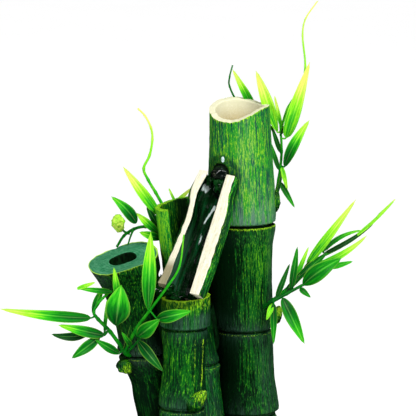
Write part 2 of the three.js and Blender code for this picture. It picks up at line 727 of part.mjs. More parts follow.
const bowlGroup = new THREE.Group();
bowlGroup.add(
  piece('base_pad', basePad(), MATERIALS.pad),
  piece('bowl', bowl(), MATERIALS.bowl),
  piece('cable_grommet', cableGrommet(), MATERIALS.rubber),
);
PEBBLES.forEach((stone, index) => {
  bowlGroup.add(piece(`pebble_${index + 1}`, pebble(stone), MATERIALS.rock));
});

const pumpGroup = new THREE.Group();
pumpGroup.position.set(...PUMP_CENTRE);
pumpGroup.add(
  piece('pump_housing', pumpHousing(), MATERIALS.black),
  piece('volute_seal', voluteSeal(), MATERIALS.rubber),
  piece('volute_cover', voluteCover(), MATERIALS.black),
  piece('rotor_shaft', rod('x', SHAFT_RADIUS, -20, 27.1, [0, 0, 0], 12), MATERIALS.ceramic),
  piece('rear_bush', bush(-20.7, -16.2, 2.9), MATERIALS.rubber),
  piece('front_bush', bush(24.2, 27.1, 2.3), MATERIALS.rubber),
  piece('rotor_magnet', rotorMagnet(), MATERIALS.magnet),
  piece('impeller', impeller(), MATERIALS.ceramic),
  piece('stator_core', statorCore(), MATERIALS.steel),
  piece('stator_coil', statorCoil(), MATERIALS.copper),
  piece('motor_lid', motorLid(), MATERIALS.black),
  piece('cable_gland', cableGland(), MATERIALS.rubber),
  piece('intake_grille', intakeGrille(), MATERIALS.black),
  piece('flow_regulator', flowRegulator(), MATERIALS.rubber),
);
[[-27, -8], [-27, 8], [0, -8], [0, 8]].forEach(([x, y], index) => {
  pumpGroup.add(piece(`pump_foot_${index + 1}`, pumpFoot(x, y), MATERIALS.rubber));
});

const clusterGroup = new THREE.Group();
clusterGroup.add(
  piece('pedestal', pedestal(), MATERIALS.rock),
  piece('tall_stalk_lower', tallStalkLower(), MATERIALS.deepGreen),
  piece('tall_stalk_upper', tallStalkUpper(), MATERIALS.greyGreen),
  piece('rear_stalk', rearStalk(), MATERIALS.deepGreen),
  piece('cup_stalk', cupStalk(), MATERIALS.deepGreen),
  piece('left_stalk', leftStalk(), MATERIALS.blueGreen),
  piece('trough_spout', troughSpout(), MATERIALS.wetGreen),
  piece('outlet_elbow', outletElbow(), MATERIALS.black),
  piece('supply_hose', supplyHose(), MATERIALS.black),
);
for (const [name, design] of Object.entries(SPRIGS)) {
  clusterGroup.add(piece(name, sprig(design), MATERIALS.leaf));
}

fountain.add(bowlGroup, pumpGroup, clusterGroup);

export default fountain;
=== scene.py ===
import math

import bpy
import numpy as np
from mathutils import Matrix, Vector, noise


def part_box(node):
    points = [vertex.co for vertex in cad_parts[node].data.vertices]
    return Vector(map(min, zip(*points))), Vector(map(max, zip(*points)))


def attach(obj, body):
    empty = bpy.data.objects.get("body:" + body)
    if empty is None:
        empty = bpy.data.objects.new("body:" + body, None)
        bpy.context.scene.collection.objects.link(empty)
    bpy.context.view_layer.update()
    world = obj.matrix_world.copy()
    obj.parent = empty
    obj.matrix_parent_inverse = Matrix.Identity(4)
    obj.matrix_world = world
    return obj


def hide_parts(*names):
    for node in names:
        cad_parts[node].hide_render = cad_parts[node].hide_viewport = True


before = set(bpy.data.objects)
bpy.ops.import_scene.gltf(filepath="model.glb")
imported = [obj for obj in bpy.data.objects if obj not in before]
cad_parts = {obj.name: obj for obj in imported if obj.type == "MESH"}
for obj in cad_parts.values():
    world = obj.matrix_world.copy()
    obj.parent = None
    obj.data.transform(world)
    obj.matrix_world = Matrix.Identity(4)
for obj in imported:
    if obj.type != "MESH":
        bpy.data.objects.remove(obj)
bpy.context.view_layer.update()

# Tabletop water fountain: cast and painted bamboo stalks with plastic leaf sprigs, on a rock that
# stands in an oval bowl. Sizes and places are millimetres in the CAD frame; +Z is up and -Y is the
# front. Meshes are made at that size and written in metres.

MM = 0.001

# ---------------------------------------------------------------- driving dimensions

# The camera stands in front, a little above, and looks at the middle of the stalks.
CAMERA_TARGET = (0, 0, 221)
CAMERA_DISTANCE = 1800
CAMERA_ELEVATION = 9
SENSOR = 36
LENS = 229
STUDIO_FAR = 60                  # metres

ROOT_DEPTH = 2.4                 # how far the stalks reach down into the rock
GROOVE = 0.8                     # half the height of a node's dark groove
BOWL_NARROWING = 0.91            # the bowl's depth over its width
SOFT_EDGE = 0.35                 # the rounding of the CAD nodes' edges
HOSE_HOLE_GAP = 0.25             # between the hose and the hole that it comes out of
TROUGH_GAP = 0.1                 # between the trough and the stalks that are cut round it
FLOOR_HALF = 20000

# How finely the meshes are drawn.
BOWL_SIDES = 180
TROUGH_RINGS, TROUGH_OUTER_POINTS, TROUGH_INNER_POINTS = 96, 60, 70
HOSE_SIDES, HOSE_STEPS, ELBOW_STEPS = 48, 90, 44
HOLE_SIDES, HOLE_STEPS = 32, 30
BUD_SIDES, BUD_RINGS = 40, 30
BUD_LEAF_SIDES, BUD_LEAF_RINGS = 36, 22
LUMP_SIDES, LUMP_RINGS = 44, 26
LEAF_RINGS, LEAF_POINTS = 30, 13
STEM_SIDES, STEM_STEPS = 10, 8
LEAF_STALK_SIDES, LEAF_STALK_STEPS = 8, 7
INSIDE_STEP = 2.5                # between the rings down a stalk's bore
ROCK_VOXEL = 1.3
PEBBLE_LEVELS = 3

TALL_BORE, REAR_BORE, CUP_BORE, LEFT_BORE = 16.6, 11.5, 12.6, 9.4
REAR_FLOOR, CUP_FLOOR, LEFT_FLOOR = 116, 124, 150
UPPER_FOOT = 208.2               # the underside of the tall stalk's upper casting
NOTCH = {"left": -5.8, "back": 3.0, "bottom": 178, "top": 240, "far": 40}

# The trough: the ends of its axis, its radius at each, and the way its open side looks.
TROUGH_TOP = (8.4, 7.6, 241.3)
TROUGH_BOTTOM = (-18.3, -32.3, 170)
TROUGH_RADII = (14, 16)
TROUGH_WALL = 5
TROUGH_OPEN_SIDE = (-0.296, -0.79, 0.536)
TROUGH_OPEN_HEIGHT = 6.3

# The hose stands upright inside the tall stalk, and its bent end comes out at the outlet.
HOSE = {"x": 18, "y": 22, "radius": 6, "bore": 4.4, "bottom": 44.3, "top": 217}
ELBOW = {"outlet": (7.6, 5.6, 241.6), "direction": (-0.42, -0.62, -0.66), "rise": 25, "run": 13}

# ---------------------------------------------------------------- numbers and noise


def unit(vector):
    vector = np.asarray(vector, float)
    return vector / np.linalg.norm(vector)


def noise_at(points, scale, seed=0.0):
    """Smooth noise from -1 to 1 at each point, whose coordinates are scaled first."""
    scaled = np.asarray(points) * scale + seed
    shape = scaled.shape[:-1]
    return np.array([noise.noise(p) for p in scaled.reshape(-1, 3).tolist()]).reshape(shape)


def circle(angles, height=0.0):
    """Points of the unit circle at the angles, with a height for all or for each."""
    return np.column_stack([np.cos(angles), np.sin(angles), np.broadcast_to(height, len(angles))])


def full_turn(sides):
    return np.arange(sides) * 2 * math.pi / sides


def hill(value, centre, width):
    """A smooth hill of height 1 round a centre."""
    return np.exp(-(((value - centre) / width) ** 2))


def smooth_step(value, low, high):
    share = np.clip((value - low) / (high - low), 0, 1)
    return share * share * (3 - 2 * share)


def smooth_profile(pairs):
    """A function through [place, value] pairs that is smooth and never overshoots them."""
    places, values = np.array(pairs, float).T
    steps, slopes = np.diff(places), np.diff(values) / np.diff(places)
    tangents = np.zeros(len(places))
    same_way = slopes[:-1] * slopes[1:] > 0
    first, second = 2 * steps[1:] + steps[:-1], steps[1:] + 2 * steps[:-1]
    with np.errstate(divide="ignore", invalid="ignore"):
        means = (first + second) / (first / slopes[:-1] + second / slopes[1:])
    tangents[1:-1] = np.where(same_way, means, 0)
    tangents[0], tangents[-1] = slopes[0], slopes[-1]

    def value_at(place):
        place = np.clip(place, places[0], places[-1])
        i = np.clip(np.searchsorted(places, place, side="right") - 1, 0, len(steps) - 1)
        t = (place - places[i]) / steps[i]
        rise = steps[i] * (t * (1 - t) ** 2 * tangents[i] - t * t * (1 - t) * tangents[i + 1])
        return values[i] + (values[i + 1] - values[i]) * t * t * (3 - 2 * t) + rise

    return value_at


# ---------------------------------------------------------------- meshes


def skin(rings, loop=False):
    """The corners and faces of a closed skin over rings with equal numbers of points, and the
    number of the ring that each face starts from. A loop's last ring joins its first one;
    otherwise one flat face closes each end."""
    rings = np.asarray(rings, float)
    count, sides, _ = rings.shape
    side = np.arange(sides)
    after = (side + 1) % sides
    faces, bands = [], []
    for ring in range(count if loop else count - 1):
        near, far = ring * sides, (ring + 1) % count * sides
        faces += np.stack([near + side, near + after, far + after, far + side], 1).tolist()
        bands += [ring] * sides
    if not loop:
        faces += [side[::-1].tolist(), (side + (count - 1) * sides).tolist()]
        bands += [0, count - 1]
    return rings.reshape(-1, 3), faces, np.array(bands)


def mesh_object(name, corners, faces, materials, face_materials=None):
    mesh = bpy.data.meshes.new(name)
    mesh.from_pydata((np.asarray(corners) * MM).tolist(), [], faces)
    for material in materials:
        mesh.materials.append(material)
    if face_materials is not None:
        mesh.polygons.foreach_set("material_index", np.asarray(face_materials, np.int32))
    piece = bpy.data.objects.new(name, mesh)
    bpy.context.scene.collection.objects.link(piece)
    turn_faces_out(mesh)
    return piece


def skin_object(name, rings, materials=(), starts=(), loop=False):
    """A skin over rings. Each ring number in starts is where the next material takes over."""
    corners, faces, bands = skin(rings, loop)
    face_materials = np.searchsorted(starts, bands, "right") if starts else None
    return mesh_object(name, corners, faces, materials, face_materials)


def turn_faces_out(mesh):
    """Flips every face if the mesh encloses a negative volume."""
    mesh.update()
    mesh.calc_loop_triangles()
    triangles = np.empty(len(mesh.loop_triangles) * 3, np.int32)
    mesh.loop_triangles.foreach_get("vertices", triangles)
    a, b, c = corner_points(mesh)[triangles.reshape(-1, 3)].transpose(1, 0, 2)
    if np.einsum("ij,ij->", a, np.cross(b, c)) < 0:
        mesh.flip_normals()


def read_vectors(items, field):
    flat = np.empty(len(items) * 3, np.float32)
    items.foreach_get(field, flat)
    return flat.reshape(-1, 3).astype(float)


def corner_points(mesh):
    """The mesh's corners in millimetres."""
    return read_vectors(mesh.vertices, "co") / MM


def move_corners(mesh, points):
    mesh.vertices.foreach_set("co", (points * MM).astype(np.float32).ravel())
    mesh.update()


def set_attributes(piece, **columns):
    """Stores a number or a vector for each corner, under each name."""
    for name, values in columns.items():
        values = np.asarray(values, np.float32)
        kind, field = ("FLOAT_VECTOR", "vector") if values.ndim == 2 else ("FLOAT", "value")
        piece.data.attributes.new(name, kind, "POINT").data.foreach_set(field, values.ravel())


def change_attribute(piece, name, change):
    """Replaces an attribute's values with what the function makes of them."""
    data = piece.data.attributes[name].data
    values = np.empty(len(data), np.float32)
    data.foreach_get("value", values)
    data.foreach_set("value", np.asarray(change(values), np.float32))


def apply_modifiers(piece):
    """Replaces the piece's mesh with what its modifiers make of it."""
    bpy.context.view_layer.update()
    evaluated = piece.evaluated_get(bpy.context.evaluated_depsgraph_get())
    mesh = bpy.data.meshes.new_from_object(evaluated)
    piece.modifiers.clear()
    piece.data = mesh


def cut_away(piece, cutters):
    """Subtracts closed meshes from a piece."""
    for cutter in cutters:
        modifier = piece.modifiers.new("cut", "BOOLEAN")
        modifier.operation = "DIFFERENCE"
        modifier.solver = "EXACT"
        modifier.object = cutter
    apply_modifiers(piece)
    for cutter in cutters:
        bpy.data.objects.remove(cutter)


def place(piece, body, slot, replaced=(), sharp_angle=40):
    """Gives a finished piece its shading and its body, and hides the CAD nodes that it replaces. The
    slot is not used.
    """
    piece.data.shade_smooth()
    piece.data.set_sharp_from_angle(angle=math.radians(sharp_angle))
    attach(piece, body)
    if replaced:
        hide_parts(*replaced)
    return piece


def smooth_path(points, steps):
    """A Catmull-Rom curve through the points, with the same number of steps between each two."""
    points = np.array(points, float)
    ends = np.vstack([2 * points[0] - points[1], points, 2 * points[-1] - points[-2]])
    path = []
    for i in range(len(points) - 1):
        a, b, c, d = ends[i:i + 4]
        for t in np.arange(steps) / steps:
            path.append(0.5 * (2 * b + (c - a) * t + (2 * a - 5 * b + 4 * c - d) * t ** 2
                               + (3 * b - a - 3 * c + d) * t ** 3))
    return np.array(path + [points[-1]])


def tube_rings(path, radii, sides):
    """Rings of a round tube along a path, turned as little as possible from step to step."""
    tangents = np.gradient(path, axis=0)
    tangents /= np.linalg.norm(tangents, axis=1, keepdims=True)
    helper = (1, 0, 0) if abs(tangents[0][0]) < 0.8 else (0, 1, 0)
    normal = unit(np.cross(tangents[0], helper))
    angles = full_turn(sides)
    rings = []
    for centre, tangent, radius in zip(path, tangents, radii):
        normal = unit(normal - tangent * (normal @ tangent))
        binormal = np.cross(tangent, normal)
        rings.append(centre + radius * (np.outer(np.cos(angles), normal)
                                        + np.outer(np.sin(angles), binormal)))
    return np.array(rings)


# ---------------------------------------------------------------- material nodes


class Finish:
    """A material on a Principled shader, with one short call for each node."""

    def __init__(self, name, **constants):
        self.material = bpy.data.materials.new(name)
        self.material.use_nodes = True
        self.tree = self.material.node_tree
        self.shader = self.tree.nodes["Principled BSDF"]
        self.set(**constants)

    def feed(self, socket, value):
        if isinstance(value, bpy.types.NodeSocket):
            self.tree.links.new(value, socket)
        elif isinstance(value, tuple) and len(value) == 3 and socket.type == "RGBA":
            socket.default_value = (*value, 1)
        else:
            socket.default_value = value

    def node(self, kind, inputs, output=0, **settings):
        node = self.tree.nodes.new("ShaderNode" + kind)
        for key, value in settings.items():
            setattr(node, key, value)
        for socket, value in inputs.items():
            self.feed(node.inputs[socket], value)
        return node.outputs[output]

    def attribute(self, name, output="Fac"):
        return self.node("Attribute", {}, output, attribute_name=name)

    def place_in(self, source, scale):
        """Coordinates scaled by one number, or by a number along each axis."""
        scales = np.broadcast_to(scale, 3).tolist()
        return self.node("Mapping", {"Vector": source, "Scale": scales})

    def object_place(self, scale):
        """The place on the object in millimetres, scaled."""
        return self.place_in(self.node("TexCoord", {}, "Object"), np.array(scale) / MM)

    def noise(self, place, detail=2.0, roughness=0.5, distortion=0.0):
        sockets = {"Vector": place, "Scale": 1.0, "Detail": detail, "Roughness": roughness,
                   "Distortion": distortion}
        return self.node("TexNoise", sockets)

    def noise_sum(self, *pairs):
        """A weighted sum of noises, each (noise, weight), that wavers round 0."""
        total = -0.5 * sum(weight for _, weight in pairs)
        for value, weight in pairs:
            total = self.node("Math", {0: value, 1: weight, 2: total}, operation="MULTIPLY_ADD")
        return total

    def math(self, operation, a, b=0.0, clamp=False):
        return self.node("Math", {0: a, 1: b}, operation=operation, use_clamp=clamp)

    def span(self, value, low, high, start=0.0, end=1.0):
        """Maps low..high to start..end, and holds the ends."""
        sockets = {0: value, 1: low, 2: high, 3: start, 4: end}
        return self.node("MapRange", sockets, clamp=True)

    def vary(self, pattern, low, high):
        """Maps a noise's usual range to low..high."""
        return self.span(pattern, 0.3, 0.7, low, high)

    def mix(self, factor, a, b):
        return self.node("Mix", {0: factor, 6: a, 7: b}, 2, data_type="RGBA")

    def ramp(self, factor, stops):
        output = self.node("ValToRGB", {0: factor})
        elements = output.node.color_ramp.elements
        while len(elements) < len(stops):
            elements.new(1)
        for element, (position, colour) in zip(elements, stops):
            element.position = position
            element.color = (*colour, 1)
        return output

    def bump(self, height, distance, strength):
        sockets = {"Height": height, "Distance": distance * MM, "Strength": strength}
        return self.node("Bump", sockets)

    def set(self, **sockets):
        for socket, value in sockets.items():
            self.feed(self.shader.inputs[socket.replace("_", " ")], value)
        return self.material


def bamboo_paint(name, base, body, lime, frost_and_sheen, cover=0.0, lime_cover=0.0, soft=0.095):
    """Resin painted like bamboo: a dark base coat, a green coat brushed along the grain and
    yellow-green picked out in dashes. Cover above 0 leaves less of the coat below. The attributes
    say where the coats are thicker or painted lighter and darker for light and shade (tone), frosted or
    given a painted sheen (bloom), rubbed at edges (wear), or dark with groove paint and painted shade
    (wash)."""
    f = Finish(name, Specular_IOR_Level=0.06)
    grain = f.attribute("grain", "Vector")
    patch = f.noise(f.place_in(grain, (0.09, 0.09, 0.03)), 2.0)
    streak = f.noise(f.place_in(grain, (0.8, 0.8, 0.035)), 3.0, 0.65)
    hair = f.noise(f.place_in(grain, (1.7, 1.7, 0.10)), 3.0, 0.6)
    speck = f.noise(f.place_in(grain, (1.6, 1.6, 0.5)), 2.0, 0.6)
    # The tone shifts the coats. On the stalks it also carries painted light and painted shade: lighter
    # or darker on the sides that face towards or away from the light.
    tone = f.attribute("tone")

    coat = f.noise_sum((patch, 0.40), (streak, 1.0), (hair, 0.75), (speck, 0.4))
    coat = f.span(f.math("ADD", coat, tone), -soft - cover, soft - cover)
    colour = f.mix(coat, base, body)
    dashes = f.noise_sum((hair, 1.2), (speck, 0.8), (streak, 0.35), (patch, 0.35))
    dashes = f.math("ADD", dashes, f.math("MULTIPLY", tone, 0.8))
    colour = f.mix(f.span(dashes, 0.12 - lime_cover, 0.25 - lime_cover), colour, lime)
    scratches = f.noise_sum((streak, -0.8), (hair, 0.9), (speck, 0.3))
    # The frost colour marks the castings' frosting, and also painted sheen and painted reflections
    # along the stalks' sides.
    frost_and_sheen_mask = f.math("MULTIPLY", f.attribute("bloom"), f.span(scratches, -0.16, 0.13), clamp=True)
    colour = f.mix(frost_and_sheen_mask, colour, frost_and_sheen)
    rubbed = f.math("ADD", f.attribute("wear"), f.noise_sum((speck, 1.3), (hair, 0.9)))
    colour = f.mix(f.span(rubbed, 0.42, 0.72), colour, (0.30, 0.58, 0.012))
    # The wash paints near-black shade into crevices and hollows, and the dark paint of the node
    # grooves.
    colour = f.mix(f.attribute("wash"), colour, (0.0003, 0.0022, 0.0006))
    height = f.noise_sum((streak, 0.6), (hair, 0.6), (speck, 0.35))
    return f.set(Base_Color=colour, Roughness=f.vary(speck, 0.34, 0.52),
                 Normal=f.bump(height, 0.6, 0.9))


def cream_cut():
    """The bare cream resin of the cut rims, with painted shade in tan deeper down inside the tall
    stalk.
    """
    f = Finish("cream_cut", Specular_IOR_Level=0.3)
    spots = f.noise(f.object_place(0.8), 4.0, 0.6)
    # Painted shade: tan deeper down inside the bore.
    tan = f.math("MULTIPLY", f.attribute("wash"), f.span(spots, 0.2, 0.7, 0.75, 1.0))
    colour = f.mix(tan, (0.68, 0.66, 0.45), (0.44, 0.33, 0.12))
    colour = f.mix(f.span(spots, 0.5, 0.75, 0, 0.35), colour, (0.84, 0.82, 0.68))
    return f.set(Base_Color=colour, Roughness=f.vary(spots, 0.5, 0.68),
                 Normal=f.bump(spots, 0.35, 0.5))


def shade_dark():
    """Near black with a little green: painted shade down the bores of the tall, cup and left stalks, on
    the tall stalk's hidden joint and on the web in the gap behind the stalks; also the inside of the
    bowl.
    """
    f = Finish("shade_dark", Specular_IOR_Level=0.04)
    spots = f.noise(f.object_place((0.5, 0.5, 0.2)), 4.0, 0.6)
    tone = f.span(spots, 0.35, 0.65)
    colour = f.ramp(tone, [(0, (0.0003, 0.002, 0.0006)), (1, (0.0015, 0.018, 0.003))])
    return f.set(Base_Color=colour, Roughness=f.vary(spots, 0.45, 0.7),
                 Normal=f.bump(spots, 0.5, 0.5))


def teal_cut():
    """The left stalk's painted cut face: brushed blue-green with faint rings round the hole."""
    f = Finish("teal_cut", Specular_IOR_Level=0.1)
    rings = f.attribute("reach")
    place = f.node("CombineXYZ", {0: f.math("MULTIPLY", rings, 2.2), 1: f.attribute("turn")})
    lines = f.noise(place, 3.0, 0.6)
    spots = f.noise(f.object_place(0.45), 3.0, 0.6)
    tone = f.math("ADD", f.math("MULTIPLY", lines, 0.6), f.math("MULTIPLY", spots, 0.4))
    colour = f.ramp(f.span(tone, 0.35, 0.66), [
        (0, (0.004, 0.10, 0.035)), (0.45, (0.03, 0.20, 0.085)), (1, (0.12, 0.34, 0.20)),
    ])
    colour = f.mix(f.span(f.attribute("edge"), 0.35, 0.8), colour, (0.42, 0.72, 0.06))
    return f.set(Base_Color=colour, Roughness=f.vary(spots, 0.42, 0.56),
                 Normal=f.bump(lines, 0.4, 0.7))


def trough_strip():
    """The cream cut strips of the trough, with fine grain along them and a browned lower end."""
    f = Finish("trough_strip", Specular_IOR_Level=0.3)
    grain = f.attribute("grain", "Vector")
    lines = f.noise(f.place_in(grain, (1.6, 1.6, 0.10)), 4.0, 0.6)
    spots = f.noise(f.place_in(grain, 0.9), 3.0, 0.6)
    tone = f.math("ADD", f.math("MULTIPLY", lines, 0.7), f.math("MULTIPLY", spots, 0.3))
    colour = f.ramp(f.span(tone, 0.36, 0.64), [(0, (0.52, 0.49, 0.34)), (1, (0.80, 0.78, 0.63))])
    stain = f.math("MULTIPLY", f.attribute("stain"), f.vary(lines, 0.7, 1.0))
    colour = f.mix(stain, colour, (0.21, 0.18, 0.085))
    return f.set(Base_Color=colour, Roughness=0.6, Normal=f.bump(lines, 0.25, 0.5))


def trough_wet():
    """The trough's wet inside: black-green under running water, with painted white glints on the water
    and a painted teal reflection low on its left side.
    """
    f = Finish("trough_wet", Specular_IOR_Level=0.03, Coat_Weight=0.18, Coat_Roughness=0.03,
               Coat_IOR=1.33)
    grain = f.attribute("grain", "Vector")
    runs = f.noise(f.place_in(grain, (0.42, 0.42, 0.035)), 3.0, 0.55)
    ripple = f.noise(f.place_in(grain, (0.5, 0.5, 0.14)), 4.0, 0.6, 1.2)
    colour = f.ramp(f.span(runs, 0.36, 0.68), [
        (0, (0.0003, 0.004, 0.001)), (0.55, (0.0008, 0.020, 0.003)), (1, (0.002, 0.060, 0.016)),
    ])
    # The thin band is a painted reflection: paler teal low on the left side of the inside.
    colour = f.mix(f.math("MULTIPLY", f.attribute("thin"), runs), colour, (0.045, 0.12, 0.075))
    # The foam is painted glints: white wisps where the light catches the water.
    foam = f.math("ADD", f.attribute("foam"), f.noise_sum((ripple, 2.0), (runs, 0.8)))
    colour = f.mix(f.span(foam, 0.55, 0.85), colour, (0.62, 0.74, 0.70))
    return f.set(Base_Color=colour, Roughness=0.25, Normal=f.bump(ripple, 0.8, 0.6),
                 Coat_Normal=f.bump(ripple, 1.2, 0.7))


def leaf_plastic():
    """Moulded leaves and stems: dark green at the base to yellow at the tips, with pale veins."""
    f = Finish("leaf_plastic", Specular_IOR_Level=0.1, Coat_Weight=0.04, Coat_Roughness=0.2)
    across = f.attribute("across")
    along = f.attribute("along")
    tone = f.attribute("tone")
    drift = f.noise(f.object_place(0.12), 2.0)
    stripe_place = f.node("CombineXYZ", {
        0: f.math("MULTIPLY", across, 4.2), 1: f.math("MULTIPLY", along, 1.3), 2: drift,
    })
    stripes = f.noise(stripe_place, 3.0, 0.6)
    tone = f.math("ADD", tone, f.vary(stripes, -0.17, 0.17))
    colour = f.ramp(tone, [
        (0.0, (0.0006, 0.028, 0.006)), (0.2, (0.0008, 0.085, 0.006)), (0.4, (0.002, 0.20, 0.004)),
        (0.58, (0.03, 0.42, 0.008)), (0.78, (0.27, 0.74, 0.016)), (1.0, (0.66, 0.80, 0.12)),
    ])
    rib = f.span(f.math("ABSOLUTE", across), 0.0, 0.11, 0.22, 0.0)
    colour = f.mix(rib, colour, (0.30, 0.62, 0.14))
    edge = f.span(f.math("ABSOLUTE", across), 0.82, 1.0, 0.0, 0.40)
    colour = f.mix(edge, colour, (0.32, 0.66, 0.06))
    veins = f.math("SINE", f.math("MULTIPLY", across, 34.0))
    return f.set(Base_Color=colour, Roughness=f.vary(stripes, 0.28, 0.42),
                 Normal=f.bump(f.math("ADD", veins, stripes), 0.06, 0.6))


def rock_paint():
    """Cast rock: grey-brown stone, with painted shade in its hollows and green with moss on its ledges.
    """
    f = Finish("rock_paint", Specular_IOR_Level=0.25)
    large = f.noise(f.object_place(0.06), 4.0, 0.6)
    small = f.noise(f.object_place(0.45), 5.0, 0.65)
    colour = f.ramp(f.span(f.math("ADD", large, small), 0.75, 1.25), [
        (0, (0.028, 0.026, 0.020)), (0.5, (0.115, 0.104, 0.078)), (1, (0.27, 0.25, 0.19)),
    ])
    # Painted shade in the hollows.
    colour = f.mix(f.attribute("wash"), colour, (0.006, 0.007, 0.004))
    moss = f.math("MULTIPLY", f.attribute("moss"), f.span(small, 0.40, 0.60), clamp=True)
    colour = f.mix(moss, colour, (0.030, 0.095, 0.012))
    return f.set(Base_Color=colour, Roughness=f.vary(small, 0.62, 0.9),
                 Normal=f.bump(f.math("ADD", small, large), 1.6, 0.6))


def pebble_stone():
    f = Finish("pebble_stone", Specular_IOR_Level=0.45, Coat_Weight=0.25, Coat_Roughness=0.15)
    bands = f.noise(f.object_place(0.16), 3.0, 0.6, 1.5)
    specks = f.noise(f.object_place(1.6), 3.0, 0.7)
    light = f.ramp(f.attribute("tone"), [
        (0, (0.055, 0.060, 0.058)), (0.35, (0.20, 0.17, 0.13)), (0.7, (0.42, 0.38, 0.31)),
        (1, (0.62, 0.59, 0.52)),
    ])
    dark = f.mix(0.55, light, (0.04, 0.04, 0.035))
    colour = f.mix(f.span(bands, 0.42, 0.6), dark, light)
    colour = f.mix(f.span(specks, 0.60, 0.72, 0, 0.5), colour, (0.75, 0.73, 0.66))
    return f.set(Base_Color=colour, Roughness=f.vary(specks, 0.3, 0.5),
                 Normal=f.bump(specks, 0.12, 0.5))


def moulded(name, colour, roughness, grain_size=0.35, metallic=0.0):
    """Moulded or machined stuff: one colour with faint mottling and a fine surface grain."""
    f = Finish(name, Metallic=metallic, Specular_IOR_Level=0.4)
    cloud = f.noise(f.object_place(0.15), 3.0)
    grain = f.noise(f.object_place(1 / grain_size), 2.0, 0.6)
    lighter = tuple(min(1.0, value * 1.5 + 0.006) for value in colour)
    darker = tuple(value * 0.7 for value in colour)
    return f.set(
        Base_Color=f.mix(f.span(cloud, 0.35, 0.65), darker, lighter),
        Roughness=f.vary(grain, roughness - 0.07, roughness + 0.08),
        Normal=f.bump(grain, 0.10, 0.5),
    )


def coil_copper():
    """Enamelled wire, wound side by side along the coil."""
    f = Finish("coil_copper", Metallic=0.85)
    turns = f.node("TexWave", {"Vector": f.object_place((1, 0, 0)), "Scale": 0.55, "Distortion": 0.2},
                   "Fac", wave_type="BANDS", bands_direction="X")
    colour = f.mix(turns, (0.16, 0.045, 0.015), (0.62, 0.24, 0.10))
    return f.set(Base_Color=colour, Roughness=0.3, Normal=f.bump(turns, 0.3, 1.0))


def hose_black():
    f = Finish("hose_black", Specular_IOR_Level=0.15, Coat_Weight=1.0, Coat_Roughness=0.02)
    cloud = f.noise(f.object_place(0.3), 3.0)
    colour = f.mix(f.span(cloud, 0.35, 0.65), (0.0015, 0.003, 0.002), (0.007, 0.011, 0.008))
    return f.set(Base_Color=colour, Roughness=f.vary(cloud, 0.14, 0.3),
                 Normal=f.bump(cloud, 0.5, 0.4))


PAINT = {
    "tall_upper": bamboo_paint(
        "paint_tall_upper", (0.002, 0.045, 0.030), (0.017, 0.235, 0.014), (0.23, 0.48, 0.010),
        (0.085, 0.175, 0.12), soft=0.06,
    ),
    "tall_lower": bamboo_paint(
        "paint_tall_lower", (0.0004, 0.010, 0.0020), (0.0025, 0.085, 0.006), (0.055, 0.23, 0.005),
        (0.030, 0.080, 0.050), lime_cover=-0.01,
    ),
    "rear": bamboo_paint(
        "paint_rear", (0.0008, 0.030, 0.005), (0.007, 0.27, 0.020), (0.19, 0.54, 0.012),
        (0.03, 0.09, 0.06), cover=0.02, lime_cover=0.05,
    ),
    "cup": bamboo_paint(
        "paint_cup", (0.0005, 0.016, 0.004), (0.002, 0.095, 0.005), (0.070, 0.31, 0.004),
        (0.035, 0.10, 0.06), lime_cover=-0.01,
    ),
    "left": bamboo_paint(
        "paint_left", (0.0005, 0.012, 0.003), (0.002, 0.080, 0.005), (0.075, 0.27, 0.006),
        (0.05, 0.10, 0.07), lime_cover=-0.03,
    ),
}
CREAM = cream_cut()
SHADE_DARK = shade_dark()
LEAF = leaf_plastic()
HOSE_BLACK = hose_black()

# ---------------------------------------------------------------- stalks


